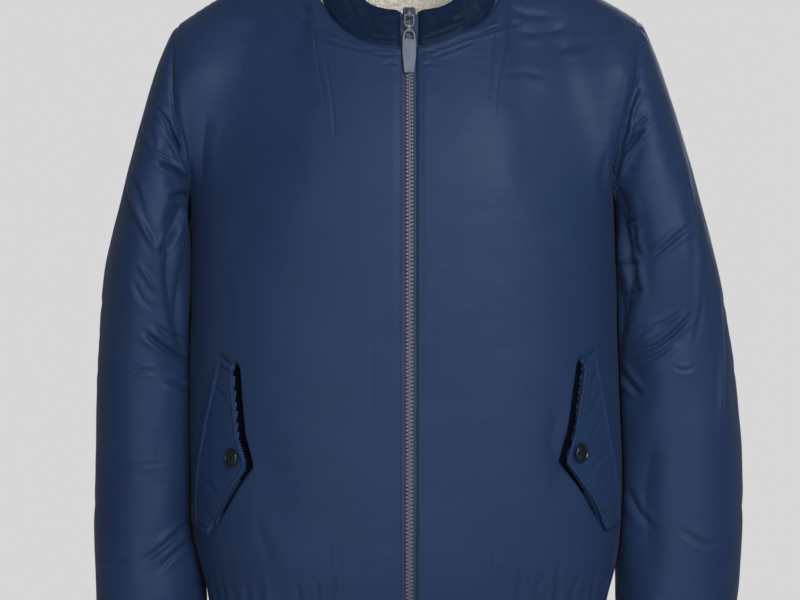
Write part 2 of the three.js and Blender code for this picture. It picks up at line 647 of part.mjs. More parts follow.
/** One elasticated cuff, a short oval tube under the sleeve. */
function cuff(side) {
  const top = CUFF.seamZ - SEAM;
  return wall({
    surface: (round, up) => {
      const point = sleeveSection(side, ((round % 1) + 1) % 1, CUFF.seamZ);
      const sizes = at(SLEEVE_SECTIONS[sideName(side)], CUFF.seamZ);
      const middle = vec((side * (sizes.out + sizes.inn)) / 2, sizes.y, 0);
      const swell = 1 - CUFF.taper * up + CUFF.bulge * Math.sin(up * Math.PI);
      return vec(
        middle.x + (point.x - middle.x) * swell,
        middle.y + (point.y - middle.y) * swell,
        lerp(top, CUFF.endZ, up),
      );
    },
    rows: span(3).map((up) => ({ up, places: span(30) })),
    depth: RIB,
    inside: sleeveMiddle(side),
    closed: true,
  });
}

// ---------------------------------------------------------------- waistband
/** How much wider the waistband is than the waist seam. up runs from the seam to the hem. */
const bandSwell = (up) => 1 + WAISTBAND.bulge * Math.sin(up * Math.PI) + WAISTBAND.flare * up;

/** The elasticated waistband, from the zip round the back to the zip. */
function waistband() {
  const sizes = at(BODY_SECTIONS, WAIST_SEAM_Z);
  return wall({
    surface: (across, up) => {
      // across runs from -1 at the zip on the wearer's right, through 0 at the back, to 1.
      const side = Math.sign(across) || 1;
      const fromFront = 1 - Math.abs(across);
      const face = fromFront < 0.5 ? -1 : 1;
      const share = face < 0 ? fromFront * 2 : 2 - fromFront * 2;
      const point = section(side, face, share, WAIST_SEAM_Z);
      const swell = bandSwell(up);
      const x = face < 0 ? side * ZIP.gap + (point.x - side * ZIP.gap) * swell : point.x * swell;
      return vec(x, point.y * swell, lerp(WAIST_SEAM_Z - SEAM, HEM_Z, up));
    },
    rows: span(3).map((up) => ({ up, places: span(56, -1, 1) })),
    depth: RIB,
    inside: () => vec(0, (sizes.back - sizes.front) / 2, (WAIST_SEAM_Z + HEM_Z) / 2),
  });
}

// ---------------------------------------------------------------- collar
/** A point of the collar. across runs from -1 at the zip through 0 at the back to 1; up in its height. */
function collarPoint(across, up) {
  const side = Math.sign(across) || 1;
  const round = clamp(1 - Math.abs(across), 0, 1);
  const face = round < 0.5 ? -1 : 1;
  const base = neckline(side, face, face < 0 ? round * 2 : 2 - round * 2);
  const sizes = at(COLLAR_SECTIONS, round);
  const inward = vec(-base.x * 0.72, (NECK.backY + NECK.frontY) / 2 - base.y, 0).normalize();
  if (round < 0.12) inward.x *= smoothstep(round, 0, 0.12);
  const point = base.add(vec(0, 0, 2.5 * SEAM));
  const steps = 6;
  for (let i = 0; i < steps; i++) {
    const lean = degToRad(lerp(sizes.leanSeam, sizes.leanTop, (up * (i + 0.5)) / steps));
    const step = (sizes.high * up) / steps;
    point.addScaledVector(inward, Math.sin(lean) * step);
    point.z += Math.cos(lean) * step;
  }
  return point;
}

// The places round the collar where the facets of the panels end on the neckline.
const COLLAR_LEFT = [...span(NECK_FACETS.back, 0, 0.5), ...span(NECK_FACETS.front, 0.5, 1).slice(1)];
const COLLAR_PLACES = [...COLLAR_LEFT.slice(1).map((place) => -place).reverse(), ...COLLAR_LEFT];

const collarMiddle = (point) => vec(0, (NECK.backY + NECK.frontY) / 2, point.z);

/** The outer cloth of the collar. */
function collar() {
  return wall({
    surface: collarPoint,
    rows: span(5).map((up) => ({ up, places: COLLAR_PLACES })),
    depth: COLLAR_CLOTH,
    inside: collarMiddle,
  });
}

/** The pile lining inside the collar, which shows above its edge. */
function collarLining() {
  return wall({
    surface: (across, up) => collarPoint(across, up * 1.03),
    rows: span(4, 0.02, 1).map((up) => ({ up, places: COLLAR_PLACES })),
    depth: PILE,
    inside: collarMiddle,
    move: (across) => {
      const overTape = smoothstep(Math.abs(across), 0.7, 0.84);
      return -lerp(COLLAR_CLOTH + SEAM, ZIP.tapeBack + 4 * SEAM, overTape);
    },
  });
}

// ---------------------------------------------------------------- pockets
/** A point of a flap and the body's normal there. down runs along the flap, out to its free edge. */
function flapPlace(side, down, out) {
  const sizes = at(FLAP_SECTIONS, down);
  const top = FLAP.topZ + side * FLAP.sideShift;
  const z = top - lerp(sizes.sewnDrop, sizes.freeDrop, out);
  const turn = side * FLAP.topShift * clamp(1 - down / 0.45, 0, 1);
  return { across: lerp(sizes.sewn, sizes.free, out) + turn, up: waistUp(z) };
}

/** The outer face of a front with its folds and gathers, moved out by lift. */
function onFront(side, across, up, lift) {
  const surface = (a, u) => body(side, -1, a, u).add(vec(0, -PANEL_GAP, 0));
  const normal = normalOf(surface, across, up, bodyMiddle);
  const point = surface(across, up);
  const move = panelMove(`front_${sideName(side)}`, -1, across, point, normal);
  return { point: point.addScaledVector(normal, move + lift), normal };
}

/** The lift of a flap's outer face above the front, from its sewn edge to its free edge. */
const flapLift = (out) => FLAP.cloth + lerp(FLAP.liftSewn, FLAP.liftFree, smoothstep(out, 0, 1));

/** One pocket flap, lying on its front. */
function flap(side) {
  return wall({
    surface: (out, down) => {
      const { across, up } = flapPlace(side, down, out);
      return onFront(side, across, up, flapLift(out)).point;
    },
    rows: FLAP_SECTIONS.map(({ z }) => ({ up: z, places: span(5) })),
    depth: FLAP.cloth,
    inside: bodyMiddle,
  });
}

/** The cap of a snap, a shallow dome with a rolled rim, standing on its flap. */
function snap(side) {
  const top = FLAP.topZ + side * FLAP.sideShift;
  const place = { across: SNAP.across, up: waistUp(top - SNAP.drop) };
  const { point, normal } = onFront(side, place.across, place.up, flapLift(0.75) + SEAM + 0.5);
  const outline = [
    [0, 0],
    [0.8, 0],
    [0.98, 0.25],
    [1, 0.6],
    [0.9, 0.95],
    [0.78, 0.8],
    [0.45, 0.92],
    [0, 1],
  ].map(([r, h]) => new THREE.Vector2(r * SNAP.radius, h * SNAP.high));
  const geometry = new THREE.LatheGeometry(outline, 18);
  geometry.applyQuaternion(new THREE.Quaternion().setFromUnitVectors(vec(0, 1, 0), normal));
  return geometry.translate(point.x, point.y, point.z);
}

// ---------------------------------------------------------------- zip
// The shares of the centre front line at which the waistband ends and the collar starts.
const BAND_SHARE = 0.0764;
const COLLAR_SHARE = 0.92;

/** A point of the centre front line. up runs from the hem to the collar's edge. */
function centreFront(up) {
  let point;
  if (up < BAND_SHARE) {
    const share = up / BAND_SHARE;
    point = section(1, -1, 0, WAIST_SEAM_Z).setZ(lerp(HEM_Z, WAIST_SEAM_Z, share));
    point.y *= bandSwell(1 - share);
  } else if (up < COLLAR_SHARE) {
    point = body(1, -1, 0, (2 * (up - BAND_SHARE)) / (COLLAR_SHARE - BAND_SHARE));
  } else point = collarPoint(1, (up - COLLAR_SHARE) / (1 - COLLAR_SHARE));
  return point.setX(0);
}

/** The outward normal of the centre front line, smoothed over its pieces. */
function centreNormal(up) {
  const step = 0.02;
  const [low, high] = [clamp(up - step, 0, 1), clamp(up + step, 0, 1)];
  const rise = centreFront(high).sub(centreFront(low));
  return vec(0, -rise.z, rise.y).normalize();
}

// The places up the zip's strips: close together at the waist seam and where the collar starts to lean.
const ZIP_LOW_ROWS = [0, 0.03, 0.075, 0.085, 0.1, 0.14];
const ZIP_ROWS = [...ZIP_LOW_ROWS, ...span(14, 0.2, 0.9), 0.92, 0.935, 0.955, 0.975, 0.995];

/** A bar that runs up the centre front, between two places in X and two depths behind the cloth. */
function zipStrip(from, to, face, back, rows = ZIP_ROWS) {
  const points = [];
  const triangles = [];
  for (const up of rows) {
    for (const [x, depth] of [[from, face], [to, face], [to, back], [from, back]]) {
      points.push(onZip(up, depth).setX(x));
    }
  }
  const corners = 4;
  for (let row = 0; row < rows.length - 1; row++) {
    for (let i = 0; i < corners; i++) {
      const [a, b] = [row * corners + i, row * corners + ((i + 1) % corners)];
      triangles.push([a, b, b + corners], [a, b + corners, a + corners]);
    }
  }
  const last = (rows.length - 1) * corners;
  triangles.push([0, 2, 1], [0, 3, 2], [last, last + 1, last + 2], [last, last + 2, last + 3]);
  return closedGeometry(points, triangles);
}

/** A point at a depth behind the centre front line. */
const onZip = (up, depth) => centreFront(up).addScaledVector(centreNormal(up), -depth);

/** The place up the zip where the centre front line has a height. */
function zipPlace(z) {
  let [low, high] = [0, 1];
  for (let i = 0; i < 40; i++) {
    const middle = (low + high) / 2;
    if (centreFront(middle).z < z) low = middle;
    else high = middle;
  }
  return low;
}

/** One side's tape, which lies behind the edge of its front. */
function zipTape(side) {
  return zipStrip(side * (ZIP.chain + SEAM), side * ZIP.tapeReach, ZIP.tapeFace, ZIP.tapeBack);
}

/** How far a part of the zip leans back from straight up. */
const leanOf = (up) => Math.atan2(centreNormal(up).z, -centreNormal(up).y);

const sliderUp = zipPlace(SLIDER.z);
const BOX_RAISE = 2; // from the hem to the foot of the box
const boxUp = zipPlace(HEM_Z + BOX.long / 2 + BOX_RAISE);

/** The closed row of teeth, from the slider down to the box at the hem. */
function zipChain() {
  const bottom = zipPlace(HEM_Z + BOX_RAISE + BOX.long + SEAM);
  const top = zipPlace(SLIDER.z + 1);
  const rows = [bottom, ...ZIP_ROWS.filter((up) => up > bottom + 0.005 && up < top - 0.005), top];
  return zipStrip(-ZIP.chain, ZIP.chain, ZIP.chainFace, ZIP.chainBack, rows);
}

/** The slider: two plates joined by a post above the teeth, with a crown that the link hangs from. */
function zipSlider() {
  const { wide, narrow, long, plate: thick, clear, post } = SLIDER;
  const outline = new THREE.Shape();
  outline.moveTo(-narrow, -long / 2);
  outline.lineTo(narrow, -long / 2);
  outline.lineTo(narrow + 0.4, -long * 0.1);
  outline.lineTo(wide, long * 0.18);
  outline.quadraticCurveTo(wide, long / 2, wide * 0.45, long / 2);
  outline.quadraticCurveTo(0, long * 0.42, -wide * 0.45, long / 2);
  outline.quadraticCurveTo(-wide, long / 2, -wide, long * 0.18);
  outline.lineTo(-narrow - 0.4, -long * 0.1);
  outline.closePath();
  const faceY = ZIP.chainFace - clear - thick;
  const backY = ZIP.chainBack + clear;
  const postLong = long * 0.26;
  const postBar = new THREE.BoxGeometry(2 * post, backY - faceY, postLong);
  postBar.translate(0, (faceY + backY + thick) / 2, long * 0.44 - postLong / 2);
  const arch = new THREE.Shape();
  arch.absellipse(faceY + 0.4, -0.5, CROWN.high + 0.4, CROWN.long / 2, HALF, 3 * HALF);
  arch.closePath();
  const across = { depth: CROWN.wide, bevelEnabled: false, curveSegments: 10 };
  const crown = new THREE.ExtrudeGeometry(arch, across);
  crown.applyMatrix4(new THREE.Matrix4().makeBasis(vec(0, 1, 0), vec(0, 0, 1), vec(1, 0, 0)));
  crown.translate(-CROWN.wide / 2, 0, 0);
  return carved(
    [plate(outline, faceY, thick, 0.3), plate(outline, backY, thick, 0.3), postBar, crown],
    [crossBar(CROWN.hole, CROWN.wide + 2, faceY - CROWN.pinDepth, -CROWN.pinDrop)],
  );
}

/** A closed loop's outline with a straight top and a rounded bottom, round a centre line. */
function loopOutline(half, top, bottom, corner) {
  const outline = new THREE.Path();
  outline.moveTo(-half, top);
  outline.lineTo(-half, bottom + corner);
  outline.absarc(-half + corner, bottom + corner, corner, Math.PI, 3 * HALF, false);
  outline.absarc(half - corner, bottom + corner, corner, 3 * HALF, 4 * HALF, false);
  outline.lineTo(half, top);
  outline.closePath();
  return outline;
}

/** The link, a closed loop whose top bar passes through the crown and whose bottom bar holds the pull. */
function zipLink() {
  const { wide, long, wire, corner } = LINK;
  const outer = loopOutline(wide / 2, wire / 2, -long - wire / 2, corner);
  const shape = new THREE.Shape(outer.getPoints(6));
  shape.holes.push(loopOutline(wide / 2 - wire, -wire / 2, -long + wire / 2, corner - wire));
  return plate(shape, -wire / 2, wire, 0.2);
}

/** The pull: a tapered plate with a window, and an eye round the link's bottom bar. */
function zipPull() {
  const edge = new THREE.SplineCurve(PULL_OUTLINE.map(({ down, half }) => new THREE.Vector2(half, -down)));
  const right = edge.getPoints(14);
  const left = right.map(({ x, y }) => new THREE.Vector2(-x, y)).reverse();
  const notch = [[0.9, 0], [0, 1.2], [-0.9, 0]].map(([x, y]) => new THREE.Vector2(x, y - PULL.long));
  const outline = new THREE.Shape([...right, ...notch, ...left]);
  const opening = new THREE.Path();
  opening.moveTo(-4.3, -14);
  opening.lineTo(4.3, -14);
  opening.quadraticCurveTo(4.4, -7, 1.8, -5.4);
  opening.lineTo(-1.8, -5.4);
  opening.quadraticCurveTo(-4.4, -7, -4.3, -14);
  outline.holes.push(opening);
  return carved(
    [plate(outline, -PULL.thick / 2, PULL.thick, PULL.bevel), crossBar(PULL.eye, PULL.eyeWide)],
    [crossBar(PULL.hole, PULL.eyeWide + 2)],
  );
}

/**
 * How far a hanging piece leans out from straight down where it lies against the zip: the least lean that
 * keeps it at a depth outside the line of the fronts.
 */
function leanAgainst(hinge, long, depth) {
  const leans = span(24, 0.12, 1).map((share) => {
    const seat = onZip(zipPlace(hinge.z - share * long * 0.93), depth);
    return Math.atan2(hinge.y - seat.y, hinge.z - seat.z);
  });
  return Math.max(...leans);
}

/** The box that holds the bottom of the teeth together. */
function zipBox() {
  const outline = new THREE.Shape(loopOutline(BOX.half, BOX.long / 2, -BOX.long / 2, 1.2).getPoints(3));
  return plate(outline, BOX.face, BOX.back - BOX.face, 0.3);
}

// ---------------------------------------------------------------- assembly
const COLOURS = {
  shell: { color: 0x232f45, roughness: 0.55, metalness: 0 },
  pile: { color: 0xd9d2c6, roughness: 0.95, metalness: 0 },
  tape: { color: 0x20242e, roughness: 0.8, metalness: 0 },
  teeth: { color: 0x4a4e59, roughness: 0.45, metalness: 0.1 },
  metal: { color: 0x7c818c, roughness: 0.35, metalness: 0.8 },
  cap: { color: 0x161c1f, roughness: 0.35, metalness: 0.5 },
};

/** A named mesh with its own material. */
function piece(name, geometry, finish) {
  const mesh = new THREE.Mesh(geometry, new THREE.MeshStandardMaterial(COLOURS[finish]));
  mesh.name = name;
  return mesh;
}

/** A piece in the plane of the zip, at a point and leaning by an angle from upright. */
function placed(mesh, point, lean) {
  mesh.position.copy(point);
  mesh.rotation.x = -lean;
  return mesh;
}

const jacket = new THREE.Group();
jacket.add(
  piece("back", back(), "shell"),
  piece("waistband", waistband(), "shell"),
  piece("collar", collar(), "shell"),
  piece("collar_lining", collarLining(), "pile"),
  piece("zip_chain", zipChain(), "teeth"),
);
for (const side of [-1, 1]) {
  const name = sideName(side);
  jacket.add(
    piece(`front_${name}`, front(side), "shell"),
    piece(`sleeve_${name}`, sleeveTube(side), "shell"),
    piece(`cuff_${name}`, cuff(side), "shell"),
    piece(`pocket_flap_${name}`, flap(side), "shell"),
    piece(`snap_${name}`, snap(side), "cap"),
    piece(`zip_tape_${name}`, zipTape(side), "tape"),
  );
}

// The hinges of the link and the pull, which hang against the zip.
const sliderLean = leanOf(sliderUp);
const crownPin = vec(0, ZIP.chainFace - SLIDER.clear - SLIDER.plate - CROWN.pinDepth, -CROWN.pinDrop);
const linkHinge = crownPin.applyAxisAngle(vec(1, 0, 0), -sliderLean).add(onZip(sliderUp, 0));
const linkLean = leanAgainst(linkHinge, LINK.long, ZIP.chainFace - PULL.eye - 2 * SEAM);
const down = vec(0, -Math.sin(linkLean), -Math.cos(linkLean));
const pullHinge = linkHinge.clone().addScaledVector(down, LINK.long);
const pullLean = leanAgainst(pullHinge, PULL.long, ZIP.chainFace - PULL.thick / 2 - SEAM);
jacket.add(
  placed(piece("zip_slider", zipSlider(), "metal"), onZip(sliderUp, 0), sliderLean),
  placed(piece("zip_link", zipLink(), "metal"), linkHinge, linkLean),
  placed(piece("zip_pull", zipPull(), "metal"), pullHinge, pullLean),
  placed(piece("zip_box", zipBox(), "metal"), onZip(boxUp, 0), leanOf(boxUp)),
);

export default jacket;
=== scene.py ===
"""A zip-front bomber jacket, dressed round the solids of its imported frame.

Each cloth piece grows from the outer face of its own solid: the face is smoothed, pressed into folds,
rolled in at its seams and given a wall. The sewing, the snaps, the zip and the pile are then built on
those faces. Metres; +X is the wearer's left, -Y the front and +Z up.
"""

import logging
import math
from collections.abc import Callable, Iterable, Sequence
from dataclasses import dataclass, field
from enum import Enum

import bmesh
import bpy
import numpy as np
from mathutils import Matrix, Vector, noise
from mathutils.bvhtree import BVHTree
from mathutils.kdtree import KDTree


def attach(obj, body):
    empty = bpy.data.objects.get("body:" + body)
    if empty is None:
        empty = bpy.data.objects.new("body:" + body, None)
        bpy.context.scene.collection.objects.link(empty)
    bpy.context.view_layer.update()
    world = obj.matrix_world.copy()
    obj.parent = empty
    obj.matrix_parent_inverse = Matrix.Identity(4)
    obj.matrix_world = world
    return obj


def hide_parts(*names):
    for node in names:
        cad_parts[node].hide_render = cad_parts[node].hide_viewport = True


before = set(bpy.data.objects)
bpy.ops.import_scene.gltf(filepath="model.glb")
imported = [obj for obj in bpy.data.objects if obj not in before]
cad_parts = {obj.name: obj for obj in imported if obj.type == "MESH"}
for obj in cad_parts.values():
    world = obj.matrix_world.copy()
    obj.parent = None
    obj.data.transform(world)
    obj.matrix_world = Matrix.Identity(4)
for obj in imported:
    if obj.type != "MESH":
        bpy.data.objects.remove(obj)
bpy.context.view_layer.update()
LOG = logging.getLogger("jacket")
MM = 0.001
WELD = 0.005 * MM

Chooser = Callable[[np.ndarray], np.ndarray]


class Side(Enum):
    """The wearer's sides, by the sign of X."""

    RIGHT = -1
    LEFT = 1

    @property
    def word(self) -> str:
        """The side's name in the names of nodes and pieces."""
        return self.name.lower()


class Facing(Enum):
    """The direction that a fold is drawn from: the axes across it and the way the cloth looks."""

    FRONT = (0, 1, -1)
    REAR = (0, 1, 1)
    RIGHT = (1, 0, -1)
    LEFT = (1, 0, 1)

    @property
    def across(self) -> int:
        """The axis that runs across the drawing; Z always runs up it."""
        return self.value[0]

    @property
    def depth(self) -> int:
        """The axis that the drawing looks along."""
        return self.value[1]

    @property
    def sign(self) -> int:
        """The sign of a facing normal along the depth axis."""
        return self.value[2]


# ------------------------------------------------------------------------------------ numbers and lines
def smoothstep(value: np.ndarray, low: float, high: float) -> np.ndarray:
    """A smooth rise from 0 at low to 1 at high."""
    t = np.clip((value - low) / (high - low), 0, 1)
    return t * t * (3 - 2 * t)


def bell(value: np.ndarray, wide: float) -> np.ndarray:
    """A smooth bump of height 1 round zero."""
    return np.exp(-((value / wide) ** 2))


def smooth_line(points: Sequence[Sequence[float]], steps: int) -> np.ndarray:
    """Samples a smooth curve through points.

    Args:
        points: The points that it passes through.
        steps: How many stretches each gap between two points is cut into.

    Returns:
        The samples, both ends included.
    """
    knots = np.array(points, float)
    if len(knots) < 3:
        return np.linspace(knots[0], knots[-1], steps + 1)
    ends = np.vstack([2 * knots[0] - knots[1], knots, 2 * knots[-1] - knots[-2]])
    t = np.linspace(0, 1, steps, endpoint=False)[:, None]
    stretches = []
    for a, b, c, d in zip(ends, ends[1:], ends[2:], ends[3:]):
        squared = 2 * a - 5 * b + 4 * c - d
        cubed = 3 * b - a - 3 * c + d
        stretches.append((2 * b + (c - a) * t + squared * t**2 + cubed * t**3) / 2)
    return np.vstack([*stretches, knots[-1:]])


def lengths_along(line: np.ndarray) -> np.ndarray:
    """The length from the start of a line to each of its points."""
    return np.concatenate([[0], np.cumsum(np.linalg.norm(np.diff(line, axis=0), axis=1))])


def spaced(line: np.ndarray, places: np.ndarray) -> np.ndarray:
    """The points of a line at given lengths along it."""
    along = lengths_along(line)
    return np.stack([np.interp(places, along, column) for column in line.T], axis=1)


def ripple(places: np.ndarray, size: float, stretch: Sequence[float] = (1, 1, 1),
           seed: float = 0) -> np.ndarray:
    """Smooth noise between about -1 and 1.

    Args:
        places: Points.
        size: The size of a lump.
        stretch: How much longer the lumps are along each axis.
        seed: Shifts the pattern.

    Returns:
        A value for each point.
    """
    scaled = places / (np.array(stretch) * size) + seed
    return np.array([noise.noise(Vector(point)) for point in scaled])


# ------------------------------------------------------------------------------------ folds
@dataclass(frozen=True)
class Fold:
    """A fold in the cloth, drawn square on from one side.

    Attributes:
        path: Its line in millimetres, across and up the drawing.
        wide: Its half width in millimetres.
        deep: Its depth in millimetres, negative for a trough.
        lips: How high the ridges beside it stand, as a share of its depth.
        skew: Moves its height to one lip, from -1 to 1.
        sharp: How much of it is a crisp crease, from 0 to 1.
        fade: The share of its length over which each end runs out.
        facing: The side that it is drawn from.
    """

    path: tuple[tuple[float, float], ...]
    wide: float
    deep: float
    lips: float = 0.3
    skew: float = 0.0
    sharp: float = 0.65
    fade: float = 0.3
    facing: Facing = Facing.FRONT

    def near(self, places: np.ndarray, normals: np.ndarray) -> np.ndarray:
        """Tells which points the fold reaches."""
        line = smooth_line(self.path, 6) * MM
        flat = places[:, (self.facing.across, 2)]
        far = np.min([np.linalg.norm(flat - point, axis=1) for point in line], axis=0)
        faces = normals[:, self.facing.depth] * self.facing.sign
        return (far < 3.2 * self.wide * MM + 2 * MM) & (faces > 0)

    def depth(self, places: np.ndarray, normals: np.ndarray) -> np.ndarray:
        """How far the fold moves each point out along its normal."""
        line = smooth_line(self.path, 6) * MM
        flat = places[:, (self.facing.across, 2)]
        along = lengths_along(line)
        nearest = np.full(len(flat), np.inf)
        share = np.zeros(len(flat))
        side = np.zeros(len(flat))
        for start, end, first in zip(line, line[1:], along):
            step = end - start
            length = np.linalg.norm(step)
            to = flat - start
            t = np.clip(to @ step / length**2, 0, 1)
            off = to - t[:, None] * step
            far = np.linalg.norm(off, axis=1)
            closer = far < nearest
            nearest[closer] = far[closer]
            share[closer] = (first + t[closer] * length) / along[-1]
            side[closer] = np.sign(step[0] * to[closer, 1] - step[1] * to[closer, 0])
        wide = self.wide * MM
        off = nearest * side
        shape = (1 - self.sharp) * bell(off, wide) + self.sharp * np.exp(-np.abs(off) / (0.55 * wide))
        shape -= self.lips * (1 + self.skew) * bell(off - 2.1 * wide, 1.1 * wide)
        shape -= self.lips * (1 - self.skew) * bell(off + 2.1 * wide, 1.1 * wide)
        ends = smoothstep(share, -0.02, self.fade) * (1 - smoothstep(share, 1 - self.fade, 1.02))
        faces = smoothstep(normals[:, self.facing.depth] * self.facing.sign, 0.05, 0.4)
        return self.deep * MM * shape * ends * faces


# ------------------------------------------------------------------------------------ cloth
def opened(mesh: bpy.types.Mesh) -> bmesh.types.BMesh:
    """A bmesh of a mesh, ready to be read by index."""
    bm = bmesh.new()
    bm.from_mesh(mesh)
    bm.verts.ensure_lookup_table()
    return bm


def closed(bm: bmesh.types.BMesh, name: str) -> bpy.types.Mesh:
    """A new mesh from a bmesh, which is freed."""
    mesh = bpy.data.meshes.new(name)
    bm.to_mesh(mesh)
    bm.free()
    return mesh


def welded(node: str) -> bmesh.types.BMesh:
    """A copy of a node's solid, its loose triangles joined at their corners."""
    bm = opened(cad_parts[node].data)
    bmesh.ops.remove_doubles(bm, verts=bm.verts, dist=WELD)
    return bm


def pair_triangles(bm: bmesh.types.BMesh, bend: float) -> None:
    """Joins triangles into quads where they bend by less than an angle, in degrees."""
    bmesh.ops.join_triangles(
        bm, faces=bm.faces, angle_face_threshold=math.radians(bend), angle_shape_threshold=math.radians(80),
    )


def tree_of(places: Sequence[Sequence[float]]) -> KDTree:
    """A tree for finding the nearest of some places."""
    tree = KDTree(len(places))
    for index, place in enumerate(places):
        tree.insert(place, index)
    tree.balance()
    return tree


def outer_face(node: str, cloth: float, middle: Sequence[float] | None) -> bmesh.types.BMesh:
    """The outer face of a cloth solid, without its rims and inner face.

    Args:
        node: The solid's node.
        cloth: The thickness of its wall.
        middle: A point that its outer face looks away from, or None for its own middle.

    Returns:
        A mesh of quads where the solid's triangles pair up.
    """
    bm = welded(node)
    bm.verts.ensure_lookup_table()
    tree = tree_of([vert.co for vert in bm.verts])
    partner = {}
    for vert in bm.verts:
        found = tree.find_range(vert.co, cloth * 1.1)
        partner[vert.index] = min((abs(far - cloth), other) for _, other, far in found)[1]
    centre = Vector(middle) if middle else sum((v.co for v in bm.verts), Vector()) / len(bm.verts)

    def spans_wall(face: bmesh.types.BMFace) -> bool:
        """Tells whether a face reaches through the wall, as the faces of a rim do."""
        pairs = [(v.index, w.index) for v in face.verts for w in face.verts if v != w]
        return any(partner[v] == w or partner[w] == v for v, w in pairs)

    bmesh.ops.delete(bm, geom=[face for face in bm.faces if spans_wall(face)], context="FACES_ONLY")
    waiting = set(bm.faces)
    layers = []
    while waiting:
        layer = []
        reached = [waiting.pop()]
        while reached:
            face = reached.pop()
            layer.append(face)
            near = {f for edge in face.edges for f in edge.link_faces} & waiting
            waiting -= near
            reached.extend(near)
        away = sum(f.calc_area() * f.normal.dot(f.calc_center_median() - centre) for f in layer)
        layers.append((away, layer))
    outer = set(max(layers, key=lambda item: item[0])[1])
    bmesh.ops.delete(bm, geom=[f for f in bm.faces if f not in outer], context="FACES")
    bmesh.ops.delete(bm, geom=[v for v in bm.verts if not v.link_faces], context="VERTS")
    pair_triangles(bm, 50)
    return bm


def evaluated(mesh: bpy.types.Mesh, kind: str, **settings: object) -> bpy.types.Mesh:
    """A mesh with a modifier applied.

    Args:
        mesh: The mesh, which is left as it is.
        kind: The type of the modifier.
        **settings: The modifier's settings.

    Returns:
        The new mesh.
    """
    obj = bpy.data.objects.new("work", mesh)
    bpy.context.scene.collection.objects.link(obj)
    modifier = obj.modifiers.new(kind.title(), kind)
    for key, value in settings.items():
        setattr(modifier, key, value)
    result = bpy.data.meshes.new_from_object(obj.evaluated_get(bpy.context.evaluated_depsgraph_get()))
    bpy.data.objects.remove(obj)
    return result


def vertex_array(mesh: bpy.types.Mesh) -> np.ndarray:
    """The places of a mesh's vertices."""
    places = np.empty(len(mesh.vertices) * 3, np.float32)
    mesh.vertices.foreach_get("co", places)
    return places.reshape(-1, 3).astype(float)


def normal_array(mesh: bpy.types.Mesh) -> np.ndarray:
    """The normals of a mesh's vertices."""
    normals = np.empty(len(mesh.vertices) * 3, np.float32)
    mesh.vertex_normals.foreach_get("vector", normals)
    return normals.reshape(-1, 3).astype(float)


def move_to(mesh: bpy.types.Mesh, places: np.ndarray) -> None:
    """Puts a mesh's vertices in their places."""
    mesh.vertices.foreach_set("co", places.astype(np.float32).ravel())


